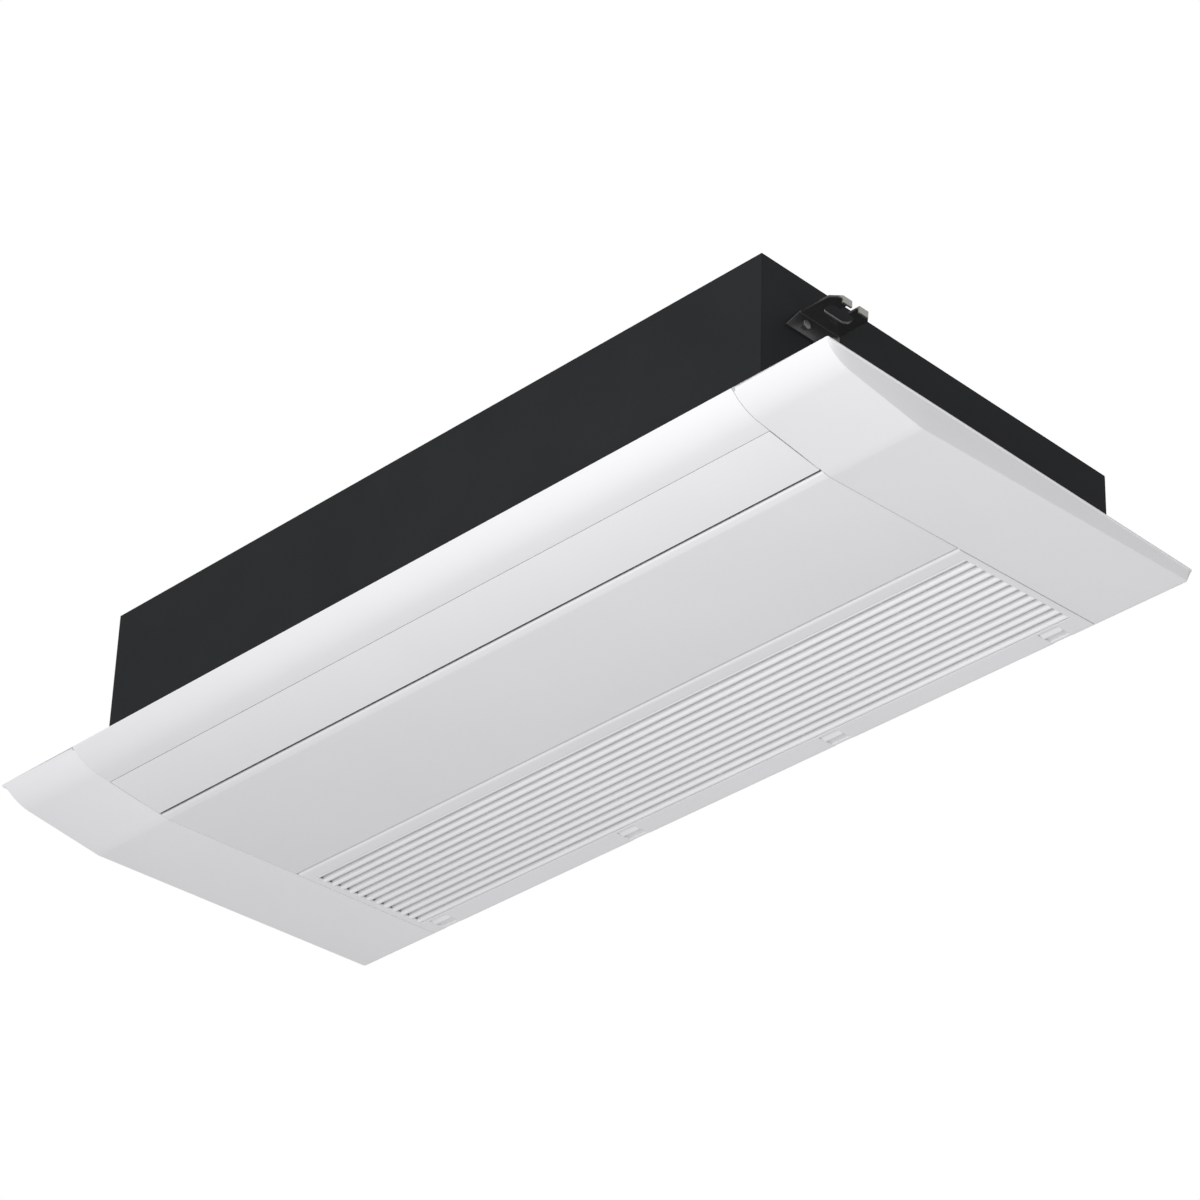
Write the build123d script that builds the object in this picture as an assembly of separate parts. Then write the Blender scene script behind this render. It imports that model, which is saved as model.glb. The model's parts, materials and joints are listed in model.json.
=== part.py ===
from build123d import *
from math import atan2, cos, radians, sin, sqrt, tan
import os

# One-way ceiling cassette. X runs along the unit, -Y is the blowing side and Z = 0 is the ceiling plane.
# The origin is the centre of the panel's rim. All sizes are millimetres and degrees.

# ---- Panel, as seen from the room
panel_length = 1100.0
panel_depth = 483.5
panel_drop = 29.5  # from the ceiling down to the crease, the panel's lowest line
rear_drop = 11.5  # from the ceiling down to the rear edge
crease_reach = 123.0  # from the front rim back to the crease
front_slope = 7.55  # slope of the blowing side's plane
roll_reach = 34.0  # the front rim's round meets the sloping plane here
cover_wall = 2.4
end_cover_width = 111.0
end_lip = 4.5  # the thin lip that stands out past each end wall
lip_thickness = 1.5
corner_round = 5.0
panel_stop_in = 7.0  # from the middle panel's rear edge to its stops
panel_stop_wall = 1.6
seam = 0.8  # gap between two visible panel pieces
fit_gap = 0.3  # clearance of a piece that lies inside another
frame_plate = 2.0
seat_depth = 1.0  # how far the casing's foot sits below the ceiling plane
body_seat_gap = 0.7  # added to the fit gap round the casing's foot
datum_pad = 20.0  # side of the pad at the frame's middle, level with the ceiling plane
collar_wall = 2.0
collar_above_vane = 1.5  # clearance of the collar's ends over the closed vane
collar_back = 20.0  # from the outlet's inner wall to the rear of the collar's ends
bearing_front = 14.0  # how far a vane bearing reaches in front of the vane's axis
bearing_back = 10.0
bearing_width = 8.0

# ---- Vane
vane_reach = 49.0  # from the front rim to the vane's outer edge
vane_width = 63.0
vane_gap = 3.0  # shadow gap along the vane's inner edge
vane_edge = 1.6
vane_bulge = 2.2
vane_pivot_in = 4.5  # pivot axis, from the inner edge
vane_pivot_up = 6.0  # pivot axis, above the room side
vane_pin_radius = 2.0
vane_arm_width = 3.0
vane_arm_radius = 4.2
motor_wall = 2.5
running_gap = 0.05

# ---- Intake grille and filter
grille_depth = 191.5
grille_front_strip = 16.5
grille_rear_strip = 27.0
slat_count = 13
slat_width = 7.4
slat_crown = 1.6
slat_height = 5.8
slat_draft = 0.5  # how far each side of a slat leans in towards its back
slat_end_bar = 8.0
slat_bite = 0.8  # how far the skin runs over the first and last slat
grille_wall = 2.4
grille_rib_width = 2.0
grille_rib_count = 7
hinge_pin_radius = 1.3
hinge_up = 4.2  # hinge axis, above the room side and behind the front edge
hinge_width = 12.0
hinge_count = 3
hinge_inset = 109.0  # from the grille's end to the middle of its first hinge
ear_width = 3.0
ear_radius = 2.5
ear_pocket_floor = 1.3
latch_count = 4
latch_inset_left = 28.0  # from the grille's left end to the middle of the first latch
latch_inset_right = 38.0
latch_width = 23.0
latch_depth = 10.0
latch_notch = 25.0  # from the rear edge to the front of a latch's notch
latch_back_rim = 5.5  # the rim that stays behind a latch's notch
latch_tab = 2.0
latch_recess = 1.0  # how far the tab's front edge lies inside the grille's face
latch_proud = 0.6  # how far its rear edge stands out
latch_floor_wall = 1.2
latch_post = 3.0  # half the width of a latch's post
latch_post_rear = 1.0  # from the tab's rear edge to the post
snap_in = 1.8  # from the tab's front edge to the tip of the latch's nose
snap_nose = 1.2  # how far the catch's nose stands out
snap_grip = 0.8  # overlap of the latch's nose with the catch's
snap_slope = 60.0  # slope of the noses' flanks, so that a pull on the grille frees them
snap_gap = 0.25
latch_travel = 4.0
filter_travel = 8.0
catch_wall = 1.5
catch_side = 3.0  # how much wider the catch is than the post, each side
filter_thickness = 3.0
filter_rim = 8.0
filter_bar = 2.4
filter_bars_long = 3
filter_bars_cross = 9

# ---- Casing
body_inset_left = 158.0  # from the panel's left rim to the casing
body_inset_right = 82.0
body_inset_front = 5.35
body_inset_rear = 16.15
body_height = 132.0  # above the ceiling plane
sheet = 1.0
flange = 14.0
frame_screw_front = 46.4  # from the casing's front to the first screw of each end
frame_screw_middle = 266.4
frame_screw_side = 40.0  # from the end screws' line to the rear screws

# ---- Hanging brackets
bracket_sheet = 2.3
bracket_width = 50.0
bracket_reach = 44.0
bracket_level = 92.4  # underside of the bracket above the ceiling plane
bracket_foot = 21.5
bracket_flare = 18.0  # how much wider the foot is at its lower edge
bracket_front_inset = 71.9  # from the casing's front to the middle of a front bracket
bracket_rear_inset = 80.0  # from the casing's corner to the middle of a rear bracket
rod_slot_width = 12.5
rod_slot_length = 31.0
rod_slot_out = 24.0  # from the casing wall to the slot's middle line
rod_mouth = 9.0
bracket_chamfer = 9.0
bracket_lip = 5.0
screw_radius = 2.5
screw_head_radius = 4.5
screw_head = 2.6

# ---- Fan chamber
service_bay = 80.0  # left of the fan chamber
bearing_bay = 31.0  # right of it
fan_back = 92.0  # from the outlet's outer wall to the fan's axis
fan_z = 70.0
fan_radius = 48.0
fan_blades = 22
fan_sections = 5
fan_disc = 2.0
blade_chord = 11.0
blade_thickness = 1.3
blade_sagitta = 2.0
fan_end_gap = 6.0
fan_boss_radius = 11.0
shaft_radius = 4.0
scroll_gap = 3.5
scroll_start = 68.0  # angle above the +Y axis where the scroll comes closest to the fan
outlet_front = 41.75  # from the front rim to the outlet's outer wall
outlet_width = 74.0
chamber_wall = 3.0
foam_gap = 0.3

# ---- Louvers
louver_count = 8
louver_sheet = 1.8
louver_pivot_z = 34.0
louver_crank = 20.0
louver_pin = 2.0
louver_crank_pin = 1.5
louver_foot_z = 3.0
link_height = 7.0
link_thickness = 2.6
carrier_thickness = 2.8
carrier_height = 16.0

# ---- Heat exchanger
coil_thickness = 27.0
coil_height = 112.0
coil_tilt = 52.0  # from the horizontal
coil_back = 109.0  # from the fan's axis to the coil's centre
coil_z = 77.0
coil_rows = 5
tube_radius = 3.5
tube_row_gap = 13.0
tube_sides = 8  # flats round a hidden hairpin's section
coil_plate = 1.2
liquid_radius = 3.2
gas_radius = 6.35
pipe_stub = 44.0

# ---- Drain
pan_wall = 3.0
pan_floor_z = 2.2
pan_lead = 93.0  # from the pan's front to below the coil's centre
pan_lag = 57.0  # from there to the pan's rear
pan_height = 16.0
sump_depth = 60.0  # how far the sump reaches back from the pan
pump_back = 30.0  # from the pan's rear to the pump's axis
pump_radius = 24.0
pump_height = 52.0
pump_mouth_radius = 14.0
pump_mouth = 14.0  # height of the pump's mouth piece
pump_floor = 4.0  # what stays of it over the impeller
pump_strap = 2.0
pump_strap_width = 8.0
pump_strap_out = 6.0  # from the pump's side to the strap's uprights
impeller_radius = 9.0
impeller_gap = 1.5
impeller_shaft = 2.0
impeller_seat = 5.0  # how far the shaft reaches up into the motor
impeller_lift = 1.0  # from the mouth up to the vanes
impeller_height = 6.5
impeller_wall = 1.2
impeller_vanes = 4
drain_radius = 13.0
spigot_length = 36.0
spigot_gap = 2.0  # from the casing wall to the spigot's step
drain_pipe_step = 1.0  # how much slimmer the pipe is inside the casing
drain_pipe_wall = 1.5
drain_elbow_radius = 9.0
drain_elbow_in = 8.0  # from the pump's side to the elbow's middle line
float_radius = 9.0
float_travel = 8.0
float_stem_radius = 3.0

# ---- Electrical box
box_length = 88.0
box_clearance = 8.0  # from the pan's rear to the electrical box
box_floor_z = 46.0
box_sheet = 1.0
cable_bore_radius = 6.0
grommet_neck_radius = 9.0
board_inset = 8.0  # from the box's walls to the board, and from its edge to its parts
board_gap = 12.4  # from the box's roof to the board
board_sheet = 1.6
board_post = 2.5
board_post_in = 4.0
sink_width = 24.0
sink_height = 18.0
capacitor_radius = 8.0
capacitor_height = 22.0
plug_depth = 12.0
plug_height = 10.0
terminal_count = 6
terminal_inset = 10.0
terminal_rear = 20.0  # from the box's rear wall to the terminals
terminal_depth = 18.0
terminal_height = 14.0
terminal_wall = 1.0
terminal_well = 3.0
terminal_screw = 2.4

# ---- Motors
motor_radius = 40.0
motor_length = 54.0
step_radius = 10.0
step_length = 15.0
step_shaft = 2.0

# ---- Places worked out from the sizes
rim_front = -panel_depth / 2
rim_rear = panel_depth / 2
half_length = panel_length / 2
crease_y = rim_front + crease_reach
seam_x = half_length - end_cover_width
end_wall_x = half_length - end_lip
vane_outer_y = rim_front + vane_reach
vane_inner_y = vane_outer_y + vane_width
mid_front_y = vane_inner_y + vane_gap
grille_front_y = rim_rear - grille_depth
body_left = -half_length + body_inset_left
body_right = half_length - body_inset_right
body_front = rim_front + body_inset_front
body_rear = rim_rear - body_inset_rear
body_top = body_height
seat_z = -seat_depth
plate_z = seat_z - frame_plate
chamber_left = body_left + service_bay
chamber_right = body_right - bearing_bay
outlet_outer_y = rim_front + outlet_front
outlet_inner_y = outlet_outer_y + outlet_width
ceiling_inside = body_top - sheet
bracket_front_y = body_front + bracket_front_inset
fan_y = outlet_outer_y + fan_back
coil_y = fan_y + coil_back
pan_front_y = coil_y - pan_lead
pan_rear_y = coil_y + pan_lag
sump_rear_y = pan_rear_y + sump_depth
pump_y = pan_rear_y + pump_back
box_front_y = pan_rear_y + box_clearance


def spread(first, last, count):
    """Evenly spaced places from first to last."""
    return [first + (last - first) * i / (count - 1) for i in range(count)]


hinge_offsets = spread(-seam_x + hinge_inset, seam_x - hinge_inset, hinge_count)
latch_offsets = spread(-seam_x + latch_inset_left, seam_x - latch_inset_right, latch_count)


def slope_at(y):
    """Rise of the panel's lower face per millimetre of Y."""
    if y < crease_y:
        return -tan(radians(front_slope))
    return (panel_drop - rear_drop) / (rim_rear - crease_y)


def under(y, depth=0.0):
    """Height of the panel's lower face at y, or of the surface that lies depth inside it."""
    slope = slope_at(y)
    return -panel_drop + (y - crease_y) * slope + depth * sqrt(1 + slope * slope)


def yz_prism(points, x0, x1):
    """A closed polygon of (y, z) points drawn out from x0 to x1."""
    outline = Plane.YZ.offset(x0) * make_face(Polyline(*points, close=True))
    return extrude(outline, amount=x1 - x0)


def yz_shape(curves, x0, x1):
    """A closed run of curves in the YZ plane drawn out from x0 to x1."""
    return extrude(Plane.YZ.offset(x0) * make_face(Curve() + curves), amount=x1 - x0)


def block(x0, x1, y0, y1, z0, z1):
    """A box given by its low and high corners."""
    size = Box(x1 - x0, y1 - y0, z1 - z0)
    return Pos((x0 + x1) / 2, (y0 + y1) / 2, (z0 + z1) / 2) * size


def rod_x(radius, x0, x1, y, z):
    """A round bar along X."""
    return Pos((x0 + x1) / 2, y, z) * Rot(0, 90, 0) * Cylinder(radius, x1 - x0)


def rod_y(radius, y0, y1, x, z):
    """A round bar along Y."""
    return Pos(x, (y0 + y1) / 2, z) * Rot(90, 0, 0) * Cylinder(radius, y1 - y0)


def rod_z(radius, z0, z1, x, y):
    """A round bar along Z."""
    return Pos(x, y, (z0 + z1) / 2) * Cylinder(radius, z1 - z0)


def write(name, shape):
    """Writes one node as a STEP file."""
    export_step(shape, "parts/" + name + ".step")


def group(shapes):
    """Separate solids that share one node."""
    return Compound(children=[Solid(s.solids()[0].wrapped) for s in shapes])


# ---------------------------------------------------------------- panel covers
def front_round():
    """Centre and radius of the rim's round, tangent to the sloping plane at roll_reach."""
    touch_y = rim_front + roll_reach
    touch_z = under(touch_y)
    across = sin(radians(front_slope))
    up = cos(radians(front_slope))
    lean = (touch_y - rim_front) * across + touch_z * up
    radius = -((touch_y - rim_front) ** 2 + touch_z**2) / (2 * lean)
    return touch_y + radius * across, touch_z + radius * up, radius


def rim_curve(depth, top_z):
    """The rim's round at a depth inside the skin, from top_z down to the sloping plane."""
    centre_y, centre_z, radius = front_round()
    inner = radius - depth
    start_y = centre_y - sqrt(inner**2 - (centre_z - top_z) ** 2)
    end_y = centre_y - inner * sin(radians(front_slope))
    end_z = centre_z - inner * cos(radians(front_slope))
    start_angle = atan2(top_z - centre_z, start_y - centre_y)
    end_angle = atan2(end_z - centre_z, end_y - centre_y)
    middle = (start_angle + end_angle) / 2
    halfway = (centre_y + inner * cos(middle), centre_z + inner * sin(middle))
    return (start_y, top_z), halfway, (end_y, end_z)


def front_strip():
    """The rolled strip in front of the vane, with a return along the outlet."""
    outer_start, outer_half, outer_end = rim_curve(0.0, 0.0)
    inner_start, inner_half, inner_end = rim_curve(cover_wall, 0.0)
    edge_y = vane_outer_y - seam
    return_top = under(edge_y, cover_wall) + 6.0
    inner_y = edge_y - cover_wall
    curves = [
        ThreePointArc(outer_start, outer_half, outer_end),
        Line(outer_end, (edge_y, under(edge_y))),
        Line((edge_y, under(edge_y)), (edge_y, return_top)),
        Line((edge_y, return_top), (inner_y, return_top)),
        Line((inner_y, return_top), (inner_y, under(inner_y, cover_wall))),
        Line((inner_y, under(inner_y, cover_wall)), inner_end),
        ThreePointArc(inner_end, inner_half, inner_start),
        Line(inner_start, outer_start),
    ]
    reach = seam_x - seam / 2
    return yz_shape(curves, -reach, reach)


def cover_region(depth, top_z, x0, x1):
    """The space inside the panel's outer face, kept depth away from it and cut off at top_z."""
    start, halfway, end = rim_curve(depth, top_z)
    rear_y = rim_rear - depth
    curves = [
        ThreePointArc(start, halfway, end),
        Line(end, (crease_y, under(crease_y, depth))),
        Line((crease_y, under(crease_y, depth)), (rear_y, under(rear_y, depth))),
        Line((rear_y, under(rear_y, depth)), (rear_y, top_z)),
        Line((rear_y, top_z), start),
    ]
    return yz_shape(curves, x0, x1)


def end_cover(side):
    """One end of the panel, full depth, with its seam wall, end wall and thin lip."""
    skin = cover_region(0.0, 0.0, seam_x + seam / 2, end_wall_x)
    rear_corner = skin.edges().filter_by(Axis.Z).group_by(Axis.Y)[-1].sort_by(Axis.X)[-1]
    skin = fillet(rear_corner, corner_round)
    inner_x = seam_x + seam / 2 + cover_wall
    hollow = cover_region(cover_wall, 0.0, inner_x, end_wall_x - cover_wall)
    above = cover_region(cover_wall, 0.0, seam_x - 1, inner_x + 1)
    above &= block(seam_x - 1, inner_x + 1, rim_front, rim_rear, plate_z - fit_gap, 1)
    lip = block(end_wall_x - cover_wall, half_length, rim_front, rim_rear, -lip_thickness, 0)
    tip = lip.edges().filter_by(Axis.Z).group_by(Axis.X)[-1]
    lip = fillet(tip, end_lip - 0.5)
    lip -= block(end_wall_x - cover_wall, end_wall_x, rim_front - 1, rim_rear + 1, -9, 1)
    pivot_y, pivot_z = vane_pivot()
    window = rod_x(vane_pin_radius + 1.0, seam_x - 1, inner_x + 1, pivot_y, pivot_z)
    cover = skin - hollow - above - window + lip
    if side < 0:
        cover = mirror(cover, about=Plane.YZ)
    return cover


def mid_panel():
    """The plain plate between the vane and the grille, with returns along both long edges."""
    rear_y = grille_front_y - seam
    outline = [
        (mid_front_y, under(mid_front_y)),
        (crease_y, under(crease_y)),
        (rear_y, under(rear_y)),
        (rear_y, under(rear_y, cover_wall)),
        (crease_y, under(crease_y, cover_wall)),
        (mid_front_y, under(mid_front_y, cover_wall)),
    ]
    reach = seam_x - seam / 2
    plate = yz_prism(outline, -reach, reach)
    front_wall = mid_front_y + vane_gap / 2 + cover_wall
    top = plate_z - fit_gap
    front_low = under(crease_y, cover_wall / 2)
    plate += block(-reach, reach, front_wall - cover_wall, front_wall, front_low, top)
    stop_y = rear_y - panel_stop_in
    stop_low = under(stop_y, cover_wall / 2)
    for x in hinge_offsets:
        plate += block(
            x - hinge_width, x + hinge_width, stop_y - panel_stop_wall, stop_y, stop_low, top
        )
    return plate


# ---------------------------------------------------------------- panel frame
def vane_pivot():
    """The vane's axis in the YZ plane."""
    pivot_y = vane_inner_y - vane_pivot_in
    return pivot_y, under(pivot_y) + vane_pivot_up


def grille_pivot():
    """The grille's axis in the YZ plane."""
    pivot_y = grille_front_y + hinge_up
    return pivot_y, under(pivot_y, hinge_up)


def intake_box():
    """Low and high corners of the intake opening through the frame, in X and Y."""
    return body_left + flange + 6, chamber_right - 5, grille_front_y + 14, body_rear - flange - 5


def frame_plate():
    """The flat plate below the casing, recessed for its foot and open at the outlet and the intake."""
    plate_reach = end_wall_x - cover_wall - fit_gap
    front_y = rim_curve(cover_wall, plate_z)[0][0] + fit_gap
    rear_y = rim_rear - cover_wall - fit_gap
    plate = block(-plate_reach, plate_reach, front_y, rear_y, plate_z, 0)
    around = fit_gap + body_seat_gap
    plate -= block(
        body_left - around, body_right + around, front_y - 1, body_rear + around, seat_z, 1
    )
    reach = seam_x - seam / 2
    plate += block(-reach, reach, rear_y - 1, rim_rear, plate_z, 0)
    plate -= block(
        chamber_left, chamber_right, outlet_outer_y, outlet_inner_y, plate_z - 1, 1
    )
    x0, x1, y0, y1 = intake_box()
    plate -= block(x0, x1, y0, y1, plate_z - 1, 1)
    for x, y in frame_screw_places():
        plate -= rod_z(screw_radius + running_gap, plate_z - 1, 1, x, y)
    return plate


def frame_rails():
    """The plate as rails that meet face to face in line with the edges of its two openings."""
    plate = frame_plate()
    _, _, y0, y1 = intake_box()
    cuts = [rim_front, outlet_outer_y, outlet_inner_y, y0, y1, rim_rear]
    rails = []
    for low, high in zip(cuts, cuts[1:]):
        rails += (plate & block(-half_length, half_length, low, high, plate_z - 1, 1)).solids()
    return rails


def middle_pad():
    """A low pad on the plate's middle rail; its top is level with the ceiling plane."""
    half = datum_pad / 2
    return block(-half, half, -half, half, seat_z, 0)


def vane_bearings():
    """The two walls below the plate that hold the vane's pin and its motor."""
    pivot_y, pivot_z = vane_pivot()
    y0, y1 = pivot_y - bearing_front, pivot_y + bearing_back
    low = cover_wall + fit_gap
    outline = [(y0, plate_z), (y0, under(y0, low)), (y1, under(y1, low)), (y1, plate_z)]
    inner = seam_x + seam / 2 + cover_wall + fit_gap
    right = yz_prism(outline, inner, inner + bearing_width)
    right -= rod_x(vane_pin_radius + running_gap, inner - 1, inner + bearing_width + 1, pivot_y, pivot_z)
    left = yz_prism(outline, -inner - motor_wall, -inner)
    left -= rod_x(step_shaft + 1.0, -inner - motor_wall - 1, -inner + 1, pivot_y, pivot_z)
    return [right, left]


def outlet_collar():
    """Four walls that carry the air from the casing down to the vane."""
    outer_y = outlet_outer_y - collar_wall
    outer = block(
        chamber_left, chamber_right, outer_y, outlet_outer_y,
        under(outer_y, cover_wall) + fit_gap, plate_z,
    )
    inner_y = mid_front_y + vane_gap / 2 + cover_wall + fit_gap
    inner = block(
        chamber_left, chamber_right, inner_y, inner_y + collar_wall,
        under(inner_y, cover_wall) + fit_gap, plate_z,
    )
    above_vane = cover_wall + vane_edge + vane_bulge + collar_above_vane
    back_y = outlet_inner_y - collar_back
    outline = [
        (vane_outer_y, plate_z),
        (vane_outer_y, under(vane_outer_y, above_vane)),
        (back_y, under(back_y, above_vane)),
        (back_y, plate_z),
    ]
    left = yz_prism(outline, chamber_left - collar_wall, chamber_left)
    right = yz_prism(outline, chamber_right, chamber_right + collar_wall)
    return [outer, inner, left, right]


def panel_frame():
    """The frame that the covers, the vane and the grille hang on: rails, walls, ears and catches."""
    pieces = frame_rails() + [middle_pad()] + outlet_collar() + vane_bearings()
    for x in hinge_offsets:
        pieces += hinge_ears(x)
    pieces += [latch_catch(x) for x in latch_offsets]
    return group(pieces)


def ear_bounds(x):
    """The X extents of the two frame ears that hold one of the grille's hinge pins."""
    inner = hinge_width / 2 + fit_gap
    return [(x - inner - ear_width, x - inner), (x + inner, x + inner + ear_width)]


def hinge_ears(x):
    """Two ears clipped to the frame's plate; each leans back so that the grille's edge swings past."""
    pivot_y, pivot_z = grille_pivot()
    stem = [
        (pivot_y - 0.8, pivot_z + ear_radius * 0.95),
        (pivot_y + ear_radius * 0.95, pivot_z - 0.8),
        (pivot_y + 7.5, pivot_z + 6.0),
        (pivot_y + 7.5, plate_z),
        (pivot_y + 3.0, plate_z),
        (pivot_y + 3.0, pivot_z + 6.5),
    ]
    bore = hinge_pin_radius + running_gap
    ears = []
    for low, high in ear_bounds(x):
        ear = yz_prism(stem, low, high) + rod_x(ear_radius, low, high, pivot_y, pivot_z)
        ears.append(ear - rod_x(bore, low - 1, high + 1, pivot_y, pivot_z))
    return ears


def frame_screw_places():
    """Six screws that hold the frame under the casing's flanges."""
    left = body_left + flange / 2
    right = body_right - flange / 2
    rear = body_rear - flange / 2
    front = body_front + frame_screw_front
    middle = body_front + frame_screw_middle
    return [
        (left, front), (left, middle), (left + frame_screw_side, rear),
        (right, front), (right, middle), (right - frame_screw_side, rear),
    ]


def panel_screws():
    """Screws with a washer head, up through the frame into the casing's flanges."""
    screws = []
    for x, y in frame_screw_places():
        shank = rod_z(screw_radius, plate_z, seat_z + sheet + 1.5, x, y)
        head = rod_z(screw_head_radius, plate_z - screw_head, plate_z, x, y)
        screws.append(shank + head)
    return group(screws)


# ---------------------------------------------------------------- vane
def vane():
    """The flap that closes the outlet: a thin wing with two end arms and their pin."""
    slope = radians(front_slope)
    start = (vane_outer_y, under(vane_outer_y))
    end = (vane_inner_y, under(vane_inner_y))
    lift = (sin(slope), cos(slope))
    top_start = (start[0] + 0.4, start[1] + vane_edge)
    top_end = (end[0] - 0.4, end[1] + vane_edge)
    rise = vane_edge + vane_bulge
    middle = (
        (start[0] + end[0]) / 2 + lift[0] * rise,
        (start[1] + end[1]) / 2 + lift[1] * rise,
    )
    curves = [
        Line(start, end),
        Line(end, top_end),
        ThreePointArc(top_end, middle, top_start),
        Line(top_start, start),
    ]
    reach = seam_x - seam / 2
    wing = yz_shape(curves, -reach, reach)
    pivot_y, pivot_z = vane_pivot()
    for side in (-1, 1):
        near = side * (reach - vane_arm_width)
        far = side * reach
        low, high = min(near, far), max(near, far)
        arm = rod_x(vane_arm_radius, low, high, pivot_y, pivot_z)
        root_y = pivot_y - 16.0
        outline = [
            (root_y, under(root_y, vane_edge)),
            (pivot_y + vane_arm_radius * 0.9, under(pivot_y + vane_arm_radius * 0.9, 0.6)),
            (pivot_y + vane_arm_radius, pivot_z),
            (pivot_y, pivot_z + vane_arm_radius),
            (pivot_y - 3.0, pivot_z + vane_arm_radius * 0.8),
        ]
        arm += yz_prism(outline, low, high)
        wing += arm
    wing += rod_x(
        vane_pin_radius, reach - 1, reach + seam + cover_wall + fit_gap + 7, pivot_y, pivot_z
    )
    socket_end = -reach + 8
    wing += rod_x(vane_arm_radius, -reach, socket_end, pivot_y, pivot_z)
    wing -= rod_x(step_shaft + running_gap, -reach - 1, socket_end - 1.5, pivot_y, pivot_z)
    return wing


def vane_motor_centre():
    """The stepper's body sits above its off-centre shaft, clear of the cover's skin."""
    pivot_y, _ = vane_pivot()
    return pivot_y - 2.0, plate_z - fit_gap - 0.4 - step_radius


def vane_motor_face():
    """X of the stepper's front face, against the frame's upright wall."""
    return -(seam_x + seam / 2 + cover_wall + fit_gap + motor_wall)


def vane_motor():
    """The stepper that turns the vane, with its two ears."""
    pivot_y, pivot_z = vane_pivot()
    centre_y, centre_z = vane_motor_centre()
    face = vane_motor_face()
    body = rod_x(step_radius, face - step_length, face, centre_y, centre_z)
    ear = block(
        face - 1.5, face, centre_y - step_radius - 4, centre_y + step_radius + 4,
        centre_z - 3, centre_z + 3,
    )
    body += ear
    body -= rod_x(step_shaft + running_gap, face - 8, face + 1, pivot_y, pivot_z)
    return body


def vane_shaft():
    """The stepper's output shaft, which turns with the vane."""
    pivot_y, pivot_z = vane_pivot()
    face = vane_motor_face()
    return rod_x(step_shaft, face - 7.5, -(seam_x - seam / 2) + 6, pivot_y, pivot_z)


# ---------------------------------------------------------------- intake grille
def slat_window():
    """Front and rear edges of the slatted field."""
    return grille_front_y + grille_front_strip, rim_rear - grille_rear_strip


def slat_places():
    """Middles of the slats along Y; the first and last lie against the plain strips."""
    y0, y1 = slat_window()
    first, last = y0 + slat_width / 2, y1 - slat_width / 2
    pitch = (last - first) / (slat_count - 1)
    return [first + i * pitch for i in range(slat_count)]


def sloped_block(x0, x1, y0, y1, low, high):
    """A bar between two depths above the panel's sloping rear face."""
    points = [
        (y0, under(y0, low)), (y1, under(y1, low)), (y1, under(y1, high)), (y0, under(y0, high)),
    ]
    return yz_prism(points, x0, x1)


def grille_skin():
    """The grille's plain skin with its rounded front edge, turned about the hinge axis."""
    reach = seam_x - seam / 2
    pivot_y, pivot_z = grille_pivot()
    lean = atan2(slope_at(pivot_y), 1.0)
    nose = (pivot_y - hinge_up, pivot_z)
    foot = (pivot_y + hinge_up * sin(lean), pivot_z - hinge_up * cos(lean))
    middle = radians(225) + lean / 2
    bow = (pivot_y + hinge_up * cos(middle), pivot_z + hinge_up * sin(middle))
    inner = (pivot_y + 2.0, under(pivot_y + 2.0, grille_wall))
    curves = [
        ThreePointArc(nose, bow, foot),
        Line(foot, (rim_rear, under(rim_rear))),
        Line((rim_rear, under(rim_rear)), (rim_rear, under(rim_rear, grille_wall))),
        Line((rim_rear, under(rim_rear, grille_wall)), inner),
        Line(inner, nose),
    ]
    return yz_shape(curves, -reach, reach)


def intake_grille():
    """The hinged grille: skin, slats with a crowned room side, ribs, knuckles and latch wells."""
    reach = seam_x - seam / 2
    y0, y1 = slat_window()
    half_span = reach - slat_end_bar
    grille = grille_skin()
    grille -= block(-half_span, half_span, y0 + slat_bite, y1 - slat_bite, -panel_drop, 0)
    grille += block(
        -reach, reach, rim_rear - grille_wall, rim_rear, under(rim_rear, 1.0), plate_z - fit_gap
    )
    grille += [slat(y, half_span) for y in slat_places()]
    for i in range(grille_rib_count):
        x = -half_span + 2 * half_span * (i + 1) / (grille_rib_count + 1)
        grille += sloped_block(
            x - grille_rib_width / 2, x + grille_rib_width / 2,
            y0 - 0.5, y1 + 0.5, slat_height - 1.5, slat_height + 0.6,
        )
    for x in hinge_offsets:
        grille -= ear_pockets(x)
        grille += hinge_knuckle(x)
    for x in latch_offsets:
        grille -= latch_notch_space(x)
        grille += latch_well(x)
    return grille


def slat(y, half_span):
    """One slat: a crowned room side over a body that narrows behind."""
    half = slat_width / 2
    left, right = (y - half, under(y - half, slat_crown)), (y + half, under(y + half, slat_crown))
    back = half - slat_draft
    curves = [
        ThreePointArc(left, (y, under(y)), right),
        Line(right, (y + back, under(y + back, slat_height))),
        Line((y + back, under(y + back, slat_height)), (y - back, under(y - back, slat_height))),
        Line((y - back, under(y - back, slat_height)), left),
    ]
    return yz_shape(curves, -half_span - 0.5, half_span + 0.5)


def ear_pockets(x):
    """Shallow pockets in the grille's inner side that keep it clear of the frame's ears."""
    pivot_y, pivot_z = grille_pivot()
    pockets = Part()
    for low, high in ear_bounds(x):
        low, high = low - fit_gap, high + fit_gap
        pockets += rod_x(hinge_up - ear_pocket_floor, low, high, pivot_y, pivot_z)
        y1 = pivot_y + 12.0
        pockets += sloped_block(low, high, pivot_y, y1, ear_pocket_floor, hinge_up + 1)
    return pockets


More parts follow.
